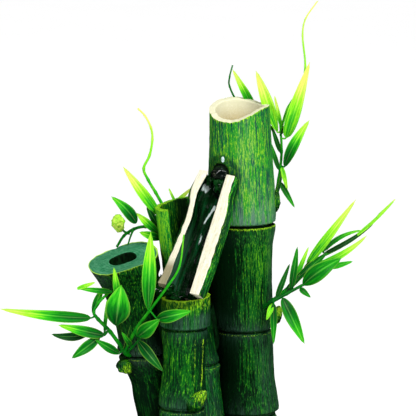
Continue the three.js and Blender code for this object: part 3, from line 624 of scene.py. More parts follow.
class Stalk:
    """A leaning stalk. Its profile gives [height, radius] up the outside, its rim the waves of its
    cut top as (turns, cosine part, sine part), and its nodes the heights of its dark grooves."""

    def __init__(self, foot, head, profile, nodes, sides, top, rim=(), ragged=0.3):
        self.foot, self.head = np.array(foot, float), np.array(head, float)
        self.low, self.top = profile[0][0] - ROOT_DEPTH, top
        self.pairs = [(self.low, profile[0][1])] + [tuple(pair) for pair in profile[1:]]
        self.radius = smooth_profile(self.pairs)
        self.nodes, self.rim, self.sides, self.ragged = nodes, rim, sides, ragged
        self.angles = full_turn(sides)

    def centre(self, height):
        share = (np.asarray(height, float) - self.foot[2]) / (self.head[2] - self.foot[2])
        x, y = (self.foot[i] + (self.head[i] - self.foot[i]) * share for i in (0, 1))
        return np.stack([x, y], -1)

    def local(self, points):
        """Points measured from the stalk's axis at their own height."""
        return np.column_stack([points[:, :2] - self.centre(points[:, 2]), points[:, 2]])

    def polar(self, piece):
        """The distance from the axis, the angle round it and the height of a piece's corners."""
        x, y, height = self.local(corner_points(piece.data)).T
        return np.hypot(x, y), np.arctan2(y, x), height

    def facing(self, piece):
        """How high each corner is, and how far it faces right and front, from -1 to 1."""
        _, angle, height = self.polar(piece)
        return height, np.cos(angle), -np.sin(angle)

    def rim_wave(self, angles):
        """How far the cut top stands above or below its middle height, ragged like the cast."""
        wave = sum((a * np.cos(k * angles) + b * np.sin(k * angles) for k, a, b in self.rim),
                   np.zeros(len(angles)))
        return wave + self.ragged * noise_at(circle(angles, self.top), (7.0, 7.0, 0.37))

    def rows(self):
        """Heights up the outside, closer together where the radius changes fast."""
        heights = []
        for (low, near), (high, far) in zip(self.pairs, self.pairs[1:]):
            count = math.ceil(max((high - low) / 1.4, abs(far - near) / 0.3))
            heights += np.linspace(low, high, count, endpoint=False).tolist()
        return np.array([h for h in heights if h < self.top - 0.7] + [self.top])

    def ring(self, radius, height):
        """A ring of points round the axis; radius and height may vary with the angle."""
        radius, height = (np.broadcast_to(v, self.sides) for v in (radius, height))
        flat = radius[:, None] * circle(self.angles)[:, :2]
        return np.column_stack([flat + self.centre(height), height])

    def outside(self, roughness=1.0, start=-math.inf):
        """Rings up the outer wall, with the cast surface's swell, ridges and uneven nodes."""
        wave = self.rim_wave(self.angles)
        rings = []
        for height in self.rows():
            if height < start:
                continue
            lift = smooth_step(height, self.top - 30, self.top) * wave
            near_node = sum(hill(height, node, 5) for node in self.nodes)
            place = circle(self.angles, height)
            level = height + lift + near_node * 0.6 * noise_at(place, (1.3, 1.3, 0.0), height // 40)
            swell = noise_at(place, (1.6, 1.6, 0.03), 7.0)
            ridges = noise_at(place, (9.0, 9.0, 0.012), 3.0)
            lumps = noise_at(place, (5.0, 5.0, 0.16), 11.0)
            quiet = 1 - 0.6 * sum(hill(height, node, 1.2) for node in self.nodes)
            relief = roughness * quiet * (0.4 * swell + 0.22 * ridges + 0.18 * lumps)
            rings.append(self.ring(self.radius(height + lift) + relief, level))
        return rings

    def rim_rings(self, bore, outer):
        """Rings from the outer edge of the cut top to the bore, both edges a little rounded."""
        wave = self.rim_wave(self.angles)
        rings = []
        for share, drop in ((0.03, 0.10), (0.09, 0.0), (0.3, 0.08), (0.6, 0.04), (0.9, 0.0),
                            (0.97, 0.2), (1.0, 0.7)):
            radius = outer + (bore - outer) * share
            rings.append(self.ring(radius, self.top + wave * radius / outer - drop))
        return rings

    def inside(self, bore, bottom):
        """Rings down the bore, from the cut top to a height."""
        start = self.top + self.rim_wave(self.angles) * bore / self.radius(self.top) - 1.2
        count = max(2, math.ceil((self.top - bottom) / INSIDE_STEP))
        rings = []
        for share in np.linspace(0, 1, count):
            swell = noise_at(circle(self.angles, share * 3), (1.5, 1.5, 1.0), 5.0)
            level = start + (bottom - start) * share
            rings.append(self.ring(bore + 0.35 * swell * smooth_step(share, 0, 0.1), level))
        return rings


STALKS = {
    "tall_stalk_lower": Stalk(
        (26.6, 25, 58), (21.6, 25, 290),
        [[58.3, 22.5], [70, 21.8], [72, 20.8], [74, 20.8], [76.5, 23.4], [86, 22.4], [100, 20.5],
         [121, 20.1], [130.5, 19.4], [131.7, 18.4], [133.3, 18.4], [134.5, 19.7], [147, 20.3],
         [171, 20.4], [192, 21.3], [203, 23.1], [205.0, 23.2]],
        nodes=(73, 132.5), sides=144, top=205.4,
    ),
    "tall_stalk_upper": Stalk(
        (26.6, 25, 58), (21.6, 25, 290),
        [[208.2, 22.2], [209.6, 23.4], [214, 23.5], [236, 22.8], [262, 21.5], [300, 20.5]],
        nodes=(), sides=160, top=286.5,
        rim=((1, 1.95, 4.93), (2, 0.39, -2.26), (3, -0.26, -0.66)), ragged=0.6,
    ),
    "rear_stalk": Stalk(
        (-2.7, 3.5, 58), (-21.3, 8.5, 220),
        [[58.3, 15.5], [82, 15.9], [100, 15.5], [107, 16.2], [110.4, 17.2], [111.6, 15.4],
         [113, 15.4], [114.4, 16.8], [121, 15.5], [142, 14.8], [186, 14.8], [236, 15]],
        nodes=(112.3,), sides=104, top=222.6, rim=((1, 2.8, 1.5),), ragged=0.7,
    ),
    "cup_stalk": Stalk(
        (-18.2, -28, 58), (-14.8, -28.6, 166),
        [[58.3, 15.4], [86, 15.6], [88, 14.7], [89.8, 14.7], [91.6, 16.2], [96, 16.3], [104, 15.1],
         [117, 14.2], [129, 14.1], [140, 15.3], [142.6, 15.3], [143.4, 14.5], [144.4, 14.5],
         [146, 16.8], [158, 16.8], [164.4, 16.6], [166, 16.3]],
        nodes=(88.9, 143.9), sides=120, top=165.2, rim=((1, 1.3, -0.1), (2, 0.2, 0.2)), ragged=0.4,
    ),
    "left_stalk": Stalk(
        (-30.8, -3, 58), (-58.4, -3, 188),
        [[58.3, 13.7], [90, 13.6], [100, 13], [110, 14.9], [118.6, 17.2], [120, 15.4],
         [121.6, 15.4], [123.4, 17], [130, 14.9], [138, 14.5], [158, 17.2], [168, 19.2],
         [173, 21.2], [177, 23], [181, 24.7], [206, 25.4]],
        nodes=(120.8,), sides=128, top=186.6,
        rim=((1, 5.4, 5.0), (2, -0.3, 0.2), (3, -0.7, 0.3)), ragged=0.35,
    ),
}

def trough_frame():
    """The trough's top, its direction down, its length, and its open and sideways directions."""
    top, bottom = np.array(TROUGH_TOP, float), np.array(TROUGH_BOTTOM, float)
    down = unit(bottom - top)
    opening = unit(TROUGH_OPEN_SIDE)
    opening = unit(opening - down * (opening @ down))
    return top, down, np.linalg.norm(bottom - top), opening, np.cross(down, opening)


def trough_radius(share):
    return TROUGH_RADII[0] + (TROUGH_RADII[1] - TROUGH_RADII[0]) * share


def gap_to_trough(points):
    top, down, length, _, _ = trough_frame()
    along = np.clip((points - top) @ down, 0, length)
    away = np.linalg.norm(points - top - along[:, None] * down, axis=1)
    return away - trough_radius(along / length)


def gap_to_stalk(points, stalk):
    flat = np.linalg.norm(points[:, :2] - stalk.centre(points[:, 2]), axis=1)
    gap = flat - stalk.radius(points[:, 2])
    beyond = np.maximum(stalk.low - points[:, 2], points[:, 2] - stalk.top)
    return np.where(beyond > 0, np.hypot(np.maximum(gap, 0), beyond), gap)


def crevice(points, own, reach):
    """How deep each point lies in the gap to a neighbouring stalk or the trough, from 0 to 1."""
    gaps = [gap_to_trough(points)]
    gaps += [gap_to_stalk(points, stalk) for name, stalk in STALKS.items()
             if name.split("_")[0] != own.split("_")[0]]
    return np.exp(-np.maximum(np.min(gaps, 0), 0) / reach)


def paint_stalk(piece, name, tone, frost_and_sheen, reach, shade=0.9, rub=0.55):
    """Writes the tone, which holds the paint's thickness and painted light and shade on the stalk's
    sides; the frost amount, which holds the casting's frosting and painted sheen; where it is rubbed
    at the rim and the nodes; and the painted shade in the crevices, which reach as far as given, with
    the dark node grooves."""
    stalk = STALKS[name]
    points = corner_points(piece.data)
    _, angle, height = stalk.polar(piece)
    edge = stalk.top + stalk.rim_wave(angle) - height
    # The frost amount passed in holds the stalk's frosting and painted sheen and reflections on its
    # sides.
    bloom = frost_and_sheen
    wear = rub * np.exp(-np.maximum(edge, 0) / 1.3)
    # Painted shade where the stalk lies close to its neighbours and the trough.
    wash = shade * crevice(points, name, reach) ** 1.3
    for node in stalk.nodes:
        above = height - node
        beyond = np.abs(above) - GROOVE
        fade = np.where(above > 0, np.exp(-beyond / 5.5), 0.5 * np.exp(-beyond / 5))
        bloom = np.maximum(bloom, np.where(beyond > 0, fade, 0))
        wear = np.maximum(wear, 0.42 * hill(above, -1.7, 0.45))
        wash = np.maximum(wash, hill(above, 0, GROOVE))
    set_attributes(piece, grain=stalk.local(points), tone=tone, bloom=np.clip(bloom, 0, 1),
                   wear=wear, wash=np.clip(wash, 0, 1))


def raise_corners(piece, stalk, amount):
    """Moves a stalk's outer corners away from its axis, by an amount for each corner."""
    points = corner_points(piece.data)
    local = stalk.local(points)
    reach = np.maximum(np.hypot(local[:, 0], local[:, 1]), 1e-6)
    push = np.where(reach > stalk.radius(local[:, 2]) - 1.5, amount, 0)
    points[:, :2] += local[:, :2] / reach[:, None] * push[:, None]
    move_corners(piece.data, points)


def tall_stalk_lower():
    stalk = STALKS["tall_stalk_lower"]
    outer = stalk.outside()
    lip = [stalk.ring(radius, height) for radius, height in (
        (22.6, 205.9), (21.4, 206.1), (20.4, 206.2), (20.4, 207.6), (20.0, 207.9),
        (TALL_BORE, 207.9))]
    bore = [stalk.ring(TALL_BORE, height) for height in np.linspace(205, stalk.low, 60)]
    piece = skin_object("tall_stalk_lower_cast", outer + lip + bore,
                        [PAINT["tall_lower"], SHADE_DARK], [len(outer)], loop=True)

    # The casting is fuller on the hidden side, where the trough and the cup stand against it.
    height, right, front = stalk.facing(piece)
    fuller = smooth_step(height, 131, 142) * (1 - smooth_step(height, 188, 204))
    raise_corners(piece, stalk, 4.3 * np.clip(-right, 0, 1) ** 2 * fuller)

    # Painted shade: the tone darkens the left side and the back, and is lighter high on the right.
    # Painted reflection: the frost lays a pale stripe down the right edge and a sheen over the right
    # side below the lower node. The frosting just under the seam is the casting's own.
    tone = -0.34 + 0.34 * smooth_step(right, -0.75, 0.15) - 0.06 * (front < -0.2)
    tone += 0.12 * hill(height, 190, 16) * smooth_step(right, -0.2, 0.5)
    low_half = 0.5 * smooth_step(right, 0.1, 0.8) * (height < 131)
    frost_and_sheen = np.maximum(0.7 * smooth_step(right, 0.7, 1.0), low_half) + 0.15 * hill(height, 200, 6)
    paint_stalk(piece, "tall_stalk_lower", tone, frost_and_sheen, shade=1.0, reach=7.5)
    return place(piece, "cluster", "painted_resin", ["tall_stalk_lower"])


def gap_to_elbow(points):
    """How far each point lies from the middle of the hose where it comes out of the stalk."""
    path = elbow_path(HOLE_STEPS)[8:]
    return np.min(np.linalg.norm(points[:, None, :] - path[None], axis=2), 1)


def tall_stalk_upper():
    stalk = STALKS["tall_stalk_upper"]
    outer = [stalk.ring(21.6, UPPER_FOOT - 0.5)] + stalk.outside(1.1, UPPER_FOOT - 0.3)
    rim = stalk.rim_rings(TALL_BORE, stalk.radius(stalk.top))
    piece = skin_object("tall_stalk_upper_cast",
                        outer + rim + stalk.inside(TALL_BORE, UPPER_FOOT - 0.5),
                        [PAINT["tall_upper"], CREAM], [len(outer) - 1], loop=True)

    # A collar stands round the hole that the hose comes out of.
    gap = gap_to_elbow(corner_points(piece.data))
    raise_corners(piece, stalk, 1.5 * hill(gap, 7.6, 1.4) + 0.3 * hill(gap, 11.0, 1.4))
    radii = np.full(HOLE_STEPS, HOSE["radius"] + HOSE_HOLE_GAP)
    hole = tube_rings(elbow_path(HOLE_STEPS), radii, HOLE_SIDES)
    cut_away(piece, [skin_object("hose_hole", hole)])

    height, right, _ = stalk.facing(piece)
    # The tone is a little lighter round 262 mm. Painted light: it is also lighter towards the right and
    # in a stripe down the front and back, and the frost adds a painted sheen over that stripe and a
    # painted reflection on the right edge. The frosting at the foot is the casting's own.
    tone = 0.02 + 0.02 * smooth_step(right, 0.45, 0.9) + 0.04 * hill(height, 262, 12)
    tone += 0.07 * smooth_step(right, -0.25, -0.12) * (1 - smooth_step(right, 0.25, 0.6))
    painted_sheen_band = 0.30 * smooth_step(right, -0.2, -0.05) * (1 - smooth_step(right, 0.35, 0.6))
    foot = np.exp(-np.maximum(height - 214, 0) / 15)
    frost_and_sheen = np.maximum(0.05 + painted_sheen_band, foot) + 0.1 * smooth_step(right, 0.93, 1.0)
    paint_stalk(piece, "tall_stalk_upper", tone, frost_and_sheen, shade=0.6, rub=0.7, reach=2.2)

    # Painted shade: inside, the wash is tan that deepens with depth; outside it darkens the hose's
    # channel and the wall within the trough's open side.
    points = corner_points(piece.data)
    reach, angle, height = stalk.polar(piece)
    depth = stalk.top + 0.8 * stalk.rim_wave(angle) - height
    deep = np.where(reach < TALL_BORE + 1, smooth_step(depth, 1, 20), 0)
    channel = 1 - smooth_step(gap_to_elbow(points), 6.3, 7.4)
    open_side = smooth_step(-gap_to_trough(points), 2, 4) * (height < 243)
    change_attribute(piece, "wash", lambda values: np.where(
        reach < stalk.radius(height) - 0.8, deep, np.clip(values + channel + open_side, 0, 1)))
    return place(piece, "cluster", "painted_resin", ["tall_stalk_upper"])


def trough_solid(grow):
    """The whole round pipe that the trough is cut from, for cutting its neighbours."""
    shares = np.linspace(0, 1, 12)
    path = np.linspace(TROUGH_TOP, TROUGH_BOTTOM, len(shares))
    return skin_object("trough_cutter", tube_rings(path, trough_radius(shares) + grow, 64))


def notch_cutter(stalk):
    """The block that takes the front wall off the top of the rear stalk, a little wavy."""
    rings = []
    for height in np.linspace(NOTCH["bottom"], NOTCH["top"], 26):
        x, y = stalk.centre(height)
        wobble = 0.5 * noise.noise((0, 0, height * 0.09))
        left, right = x + NOTCH["left"] + wobble, x + NOTCH["far"]
        front, back = y - NOTCH["far"], y + NOTCH["back"]
        rings.append([(left, front, height), (right, front, height),
                      (right, back + wobble, height), (left, back, height)])
    return skin_object("notch_cutter", rings)


def rear_stalk():
    stalk = STALKS["rear_stalk"]
    outer = stalk.outside(1.3)
    rim = stalk.rim_rings(REAR_BORE, stalk.radius(stalk.top))
    piece = skin_object("rear_stalk_cast", outer + rim + stalk.inside(REAR_BORE, REAR_FLOOR),
                        [PAINT["rear"], PAINT["left"]], [len(outer) + len(rim) - 2])
    cut_away(piece, [notch_cutter(stalk), trough_solid(TROUGH_GAP)])

    height, _, front = stalk.facing(piece)
    tone = 0.15 * smooth_step(height, 178, 205) - 0.12 * smooth_step(180 - height, 0, 30)
    frost_and_sheen = 0.5 * (height < 112) * smooth_step(front, 0.0, 0.8)
    paint_stalk(piece, "rear_stalk", tone, frost_and_sheen, rub=0.6, reach=5.0)

    # Painted shade: dark down one side of the bore, and over the stalk low down, where it stands behind
    # the others, more above the node than below it.
    reach, angle, height = stalk.polar(piece)
    bore = reach < REAR_BORE + 0.6
    shaded = np.where(bore, 0.85 * smooth_step(reach * np.cos(angle), -7, 2), 0)
    low = (0.30 + 0.25 * (height > stalk.nodes[0])) * (1 - smooth_step(height, 150, 180))
    change_attribute(piece, "wash", lambda values: np.maximum(values, np.maximum(low, shaded)))
    change_attribute(piece, "tone", lambda values: np.where(bore, 0.10, values))
    return place(piece, "cluster", "painted_resin", ["rear_stalk"])


def cup_lines(stalk, piece):
    """Where the cup's two raised lines run, as heights from 0 to 1 for the thin and the thick."""
    across, back, height = stalk.local(corner_points(piece.data)).T
    along = smooth_step(height, 99, 106) * (1 - smooth_step(height, 136, 143)) * (back < 0)
    return along * hill(across, 7.2, 0.75), along * hill(across, 12.4, 0.75)


def cup_stalk():
    stalk = STALKS["cup_stalk"]
    outer = stalk.outside(1.3)
    rim = stalk.rim_rings(CUP_BORE, stalk.radius(stalk.top))
    drain = [stalk.ring(radius, height) for radius, height in
             ((11.5, 122.6), (8, 122), (6.6, 121.4), (6, 119), (6, 108), (5.8, 96))]
    piece = skin_object("cup_stalk_cast", outer + rim + stalk.inside(CUP_BORE, CUP_FLOOR) + drain,
                        [PAINT["cup"], SHADE_DARK], [len(outer) + 3])
    raise_corners(piece, stalk, 0.75 * sum(cup_lines(stalk, piece)))
    cut_away(piece, [trough_solid(TROUGH_GAP)])

    height, right, _ = stalk.facing(piece)
    # The tone is lighter on the collar. The right side, which faces the rear and tall stalks, is
    # painted darker as shade.
    tone = 0.20 * smooth_step(height, 153, 160) - 0.02
    tone += 0.03 * smooth_step(-right, 0.2, 0.9) - 0.14 * smooth_step(right, 0.3, 0.95)
    frost_and_sheen = 0.7 * smooth_step(height, 146, 149) * (1 - smooth_step(height, 153, 158))
    paint_stalk(piece, "cup_stalk", tone, frost_and_sheen, shade=0.6, rub=0.8, reach=2.6)

    thin, thick = cup_lines(stalk, piece)
    rubbed = np.maximum(0.44 * smooth_step(height, 152, 162), 0.42 * thin + 0.56 * thick)
    change_attribute(piece, "wear", lambda values: np.maximum(values, rubbed))
    return place(piece, "cluster", "painted_resin", ["cup_stalk"])


def left_stalk():
    stalk = STALKS["left_stalk"]
    outer = stalk.outside(1.2)
    rim = stalk.rim_rings(LEFT_BORE, stalk.radius(stalk.top))
    piece = skin_object("left_stalk_cast", outer + rim + stalk.inside(LEFT_BORE, LEFT_FLOOR),
                        [PAINT["left"], teal_cut(), SHADE_DARK],
                        [len(outer) - 1, len(outer) + len(rim) - 2])

    # A dent parts the two lobes at the back of the cut face.
    reach, angle, height = stalk.polar(piece)
    dent = smooth_step(height, 168, 186) * smooth_step(reach, 12, 22)
    raise_corners(piece, stalk, -3.2 * hill(np.degrees(angle), 101, 9) * dent)

    height, right, _ = stalk.facing(piece)
    # The tone is lighter higher up. The right side, which faces the cup and the rear stalk, is painted
    # darker as shade, and the frost near the top of the left side is a painted sheen.
    tone = -0.12 + 0.10 * smooth_step(height, 125, 140) - 0.12 * smooth_step(right, 0.3, 1.0)
    frost_and_sheen = 0.8 * hill(height, 176, 7) * smooth_step(-right, 0.3, 0.9)
    paint_stalk(piece, "left_stalk", tone, frost_and_sheen, rub=0.5, reach=4.5)
    reach, angle, _ = stalk.polar(piece)
    edge = stalk.radius(stalk.top)
    set_attributes(piece, reach=reach, turn=angle, edge=smooth_step(reach, edge - 1.7, edge - 0.5))
    return place(piece, "cluster", "painted_resin", ["left_stalk"])


def bud_piece(name, foot, tip, width, paint, rub, flatten=1.0):
    """A cut side bud: a blunt teardrop from foot to tip, folded like the bud it was cast from."""
    shares = np.linspace(0, 1, BUD_RINGS)
    path = np.linspace(foot, tip, BUD_RINGS)
    radii = width / 2 * np.clip(np.sin(math.pi * shares ** 0.7), 0.001, 1) ** 0.6
    rings = tube_rings(path, radii, BUD_SIDES)
    folds = noise_at(rings, 0.22, 4.0) + 0.5 * noise_at(rings, 0.6, 9.0)
    rings += (rings - path[:, None, :]) * 0.20 * folds[:, :, None]
    rings[:, :, 1] = foot[1] + (rings[:, :, 1] - foot[1]) * flatten
    piece = skin_object(name, rings, [paint])
    corners = rings.reshape(-1, 3)
    along = np.repeat(shares, BUD_SIDES)
    # The wash paints shade at the bud's foot, where it meets the stalk.
    set_attributes(piece, grain=corners, tone=0.10 + 0.15 * noise_at(corners, 0.3, 2.0),
                   wear=rub * smooth_step(along, 0.15, 0.75),
                   bloom=0.35 * smooth_step(noise_at(corners, 0.3, 6.0), 0, 0.5),
                   wash=0.8 * (1 - smooth_step(along, 0.1, 0.5)))
    return place(piece, "cluster", "painted_resin")


# ---------------------------------------------------------------- trough and supply

OUTER, STRIP, WET = range(3)


def trough_section(radius):
    """The section of the open pipe as rows of (sideways, open-way, what it belongs to). The strips
    have rounded edges."""
    inner, level = radius - TROUGH_WALL, TROUGH_OPEN_HEIGHT
    start, inner_start = math.asin(level / radius), math.asin(level / inner)
    outer_edge, inner_edge = radius * math.cos(start), inner * math.cos(inner_start)

    def arc(size, angles, part):
        return [(size * math.cos(angle), size * math.sin(angle), part) for angle in angles]

    def strip(first, last):
        points = []
        for share in (0.03, 0.10, 0.3, 0.5, 0.7, 0.9, 0.97):
            drop = 0.35 * max(0, 1 - min(share, 1 - share) / 0.1) ** 2
            points.append((first + (last - first) * share, level - drop, STRIP))
        return points

    outside = np.linspace(start - 0.02, -math.pi - start + 0.02, TROUGH_OUTER_POINTS)
    inside = np.linspace(-math.pi - inner_start + 0.04, inner_start - 0.04, TROUGH_INNER_POINTS)
    return np.array(arc(radius, outside, OUTER) + strip(-outer_edge, -inner_edge)
                    + arc(inner, inside, WET) + strip(inner_edge, outer_edge))


def trough_ring(share, length):
    """One ring of the trough: its points before the cast's unevenness, the same points with it,
    as (sideways, open-way, along), and what each belongs to."""
    across, out, part = trough_section(trough_radius(share)).T
    along = np.full(len(across), share * length)
    plain = np.column_stack([across, out, along])
    ripple = 0.8 * noise_at(plain, (0.16, 0.16, 0.05), 3.0)
    ripple += 0.5 * noise_at(plain, (0.4, 0.4, 0.12), 8.0)
    rough = 0.3 * noise_at(plain, (0.5, 0.5, 0.06), 5.0)
    rough += 0.15 * noise_at(plain, (1.1, 1.1, 0.3), 2.0)
    reach = np.hypot(across, out)
    swell = 1 + np.where(part == WET, ripple, rough) / reach
    edge = smooth_step(np.abs(across), 8, 13) * smooth_step(out, 2, 6)
    strips = np.column_stack([np.sign(across), 0 * along, along])
    chips = 0.9 * noise_at(strips, (3.0, 1.0, 0.22), 12.0)
    bow = 2.6 * math.sin(math.pi * share ** 0.8) * (across > 0)
    narrow = 1 - edge * (bow + chips * 0.7) / reach
    across, out = across * swell * narrow, out * swell
    flare = 3.3 * hill(share * length, 14, 13) * smooth_step(across, 3, 9)
    broad = smooth_step(share * length, 12, 28) * (1 - 0.4 * smooth_step(share * length, 60, 86))
    across = across + flare - 2.6 * broad * smooth_step(-across, 8, 12)
    along = along + share ** 4 * 2.6 * smooth_step(-across, -4, 10)
    return plain, np.column_stack([across, out, along]), part


def foam_wisps(across, along):
    """Where painted glints show white on the water, each wisp at a place along and across the trough's
    inside.
    """
    run = 1.2 + 0.21 * (along - 19.4)
    wisps = 1.1 * hill(along, 8, 4) * hill(across, 7.4, 2.0)
    wisps += 1.0 * hill(along, 4, 3) * hill(across, 2.2, 1.6)
    wisps += 1.0 * hill(along, 26, 8) * hill(across, run, 0.7) * smooth_step(along, 18, 20)
    wisps += 1.0 * hill(along, 20, 2.6) * hill(across, 0.6, 1.4)
    return wisps + 1.0 * hill(along, 44, 4.5) * hill(across, 2.9, 0.7)


def trough():
    top, down, length, opening, sideways = trough_frame()
    plain, uneven, parts = zip(*(trough_ring(share, length)
                                 for share in np.linspace(0, 1, TROUGH_RINGS)))
    rings = top + np.array(uneven) @ [sideways, opening, down]
    corners, faces, _ = skin(rings)
    part = parts[0]
    around = np.where(part == np.roll(part, -1), part, STRIP)
    sides = np.concatenate([np.tile(around, len(rings) - 1), [STRIP, STRIP]]).astype(int)
    piece = mesh_object("trough_cast", corners, faces,
                        [PAINT["rear"], trough_strip(), trough_wet()], sides)
    grain = np.vstack(plain)
    across, out, along = grain.T
    wet = np.tile(part == WET, len(rings))
    near = np.min([gap_to_stalk(corners, stalk) for stalk in STALKS.values()], 0)
    set_attributes(
        piece, grain=grain,
        stain=smooth_step(along, length - 21, length - 12) * (across > 0),
        # Painted glints on the water (foam), a painted reflection (thin), and painted shade on the
        # walls close to the stalks (wash).
        foam=foam_wisps(across, along) * wet,
        thin=smooth_step(across, 7.5, 10) * smooth_step(along, 30, 60) * wet,
        wash=np.exp(-np.maximum(near, 0) / 2.5) * ~wet,
        wear=0.42 * hill(out, TROUGH_OPEN_HEIGHT - 1.2, 0.7),
        tone=np.full(len(corners), -0.08),
        bloom=0.2 * smooth_step(noise_at(grain, (0.1, 0.1, 0.03), 2.0), 0, 0.5),
    )
    return place(piece, "cluster", "wet_resin", ["trough_spout"])


def elbow_path(steps):
    outlet, direction = np.array(ELBOW["outlet"], float), unit(ELBOW["direction"])
    a = np.array([HOSE["x"], HOSE["y"], HOSE["top"] + 0.3])
    b = a + [0, 0, ELBOW["rise"]]
    c = outlet - ELBOW["run"] * direction
    t = np.linspace(0, 1, steps)[:, None]
    return (1 - t) ** 3 * a + 3 * t * (1 - t) ** 2 * b + 3 * t * t * (1 - t) * c + t ** 3 * outlet


def pipe_piece(name, path, replaced, lip=0.0):
    """A hose: a tube with a bore and rounded ends, and a lip at its far end."""
    shares = np.linspace(0, 1, len(path))
    radii = HOSE["radius"] - 0.35 * hill(shares, 0, 0.02) + lip * hill(shares, 1, 0.06)
    outer = tube_rings(path, radii, HOSE_SIDES)
    inner = tube_rings(path, np.full(len(path), HOSE["bore"]), HOSE_SIDES)
    rounding = path[-1] + (outer[-1] - path[-1]) * 0.9 + (path[-1] - path[-2]) * 0.3
    rings = np.concatenate([outer, [rounding], inner[::-1]])
    return place(skin_object(name, rings, [HOSE_BLACK], loop=True), "cluster", "hose_pvc", replaced)


def supply():
    low, high = ((HOSE["x"], HOSE["y"], HOSE[end]) for end in ("bottom", "top"))
    pipe_piece("hose_straight", np.linspace(low, high, HOSE_STEPS), ["supply_hose"])
    pipe_piece("hose_elbow", elbow_path(ELBOW_STEPS), ["outlet_elbow"], lip=0.5)


def lump(name, centre, half_sizes, material, seed, roughness):
    """A rounded uneven lump of sealant or glue where the pieces join; also a near-black web of painted
    shade and a pale bead of painted glint.
    """
    around = circle(full_turn(LUMP_SIDES))
    ball = np.array([around * math.sin(tilt) + [0, 0, math.cos(tilt)]
                     for tilt in np.linspace(0.02, math.pi - 0.02, LUMP_RINGS)])
    swell = 1 + roughness * noise_at(ball, 1.6, seed) + 0.4 * roughness * noise_at(ball, 4.0, seed)
    piece = skin_object(name, ball * swell[:, :, None] * half_sizes + centre, [material])
    return place(piece, "cluster", "painted_resin", sharp_angle=80)


def glossy_sealant(name, dark, light, cloud_scale, detail, bump, roughness, **gloss):
    f = Finish(name, **gloss)
    cloud = f.noise(f.object_place(cloud_scale), detail)
    return f.set(Base_Color=f.mix(f.span(cloud, 0.35, 0.65), dark, light), Roughness=roughness,
                 Normal=f.bump(cloud, *bump))


def sealant():
    """Dark glossy sealant round the trough's ends, webs in the gaps (the right one a near-black
    stand-in for shade) and a pale bead over the hose, painted as a glint.
    """
    dark = glossy_sealant(
        "sealant_dark", (0.0004, 0.004, 0.001), (0.003, 0.045, 0.006), 0.35, 3.0, (1.4, 0.8), 0.22,
        Specular_IOR_Level=0.1, Coat_Weight=0.3, Coat_Roughness=0.05)
    lump("joint_left", (-29, -21, 169), (6.5, 6, 5), dark, 3.0, 0.5)
    lump("joint_middle", (-21, -19, 163), (9, 6, 5), dark, 8.0, 0.5)
    lump("hose_sealant", (8.6, 4.6, 243.9), (5.5, 4.4, 4.8), HOSE_BLACK, 9.0, 0.2)
    lump("joint_right", (7.6, 3.5, 236.0), (3.6, 3.6, 6.0), dark, 5.0, 0.5)
    # A near-black web that fills the gap behind the stalks as painted shade.
    lump("painted_shade_web_right", (3.2, 16, 133), (4.5, 5, 19), SHADE_DARK, 2.0, 0.25)
    lump("web_left", (-33, -2, 142), (5.5, 5, 33), PAINT["left"], 6.0, 0.25)
    lump("joint_top", (1.5, 11.5, 238), (3.0, 4.0, 4.5), dark, 5.0, 0.4)
    # A pale bead on the collar over the hose, a painted glint.
    clear = glossy_sealant(
        "painted_glint_bead_finish", (0.34, 0.50, 0.50), (0.62, 0.74, 0.74), 0.5, 2.0, (0.5, 0.5), 0.2,
        Specular_IOR_Level=0.5, Coat_Weight=0.5, Coat_Roughness=0.05)
    lump("painted_glint_bead", (10.1, 4.6, 253.6), (1.0, 0.9, 1.9), clear, 2.0, 0.35)


# ---------------------------------------------------------------- leaf sprigs


def leaf(root, tip, width, bow, tone, sway=0.0, turn=0.0, widest=0.33):
    """A leaf from root to tip. Tone runs from the first value at its root to the second at its
    tip, 0 dark green and 1 pale yellow. Bow bends it out towards the front and sway sideways,
    turn twists it round its length in degrees, and widest is the share of its length that lies
    below its widest place."""
    return {"root": np.array(root, float), "tip": np.array(tip, float), "width": width,
            "bow": bow, "turn": turn, "tone": tone, "sway": sway, "widest": widest}


DARK, MIXED, PALE = (0.08, 0.22), (0.15, 0.45), (0.62, 0.98)

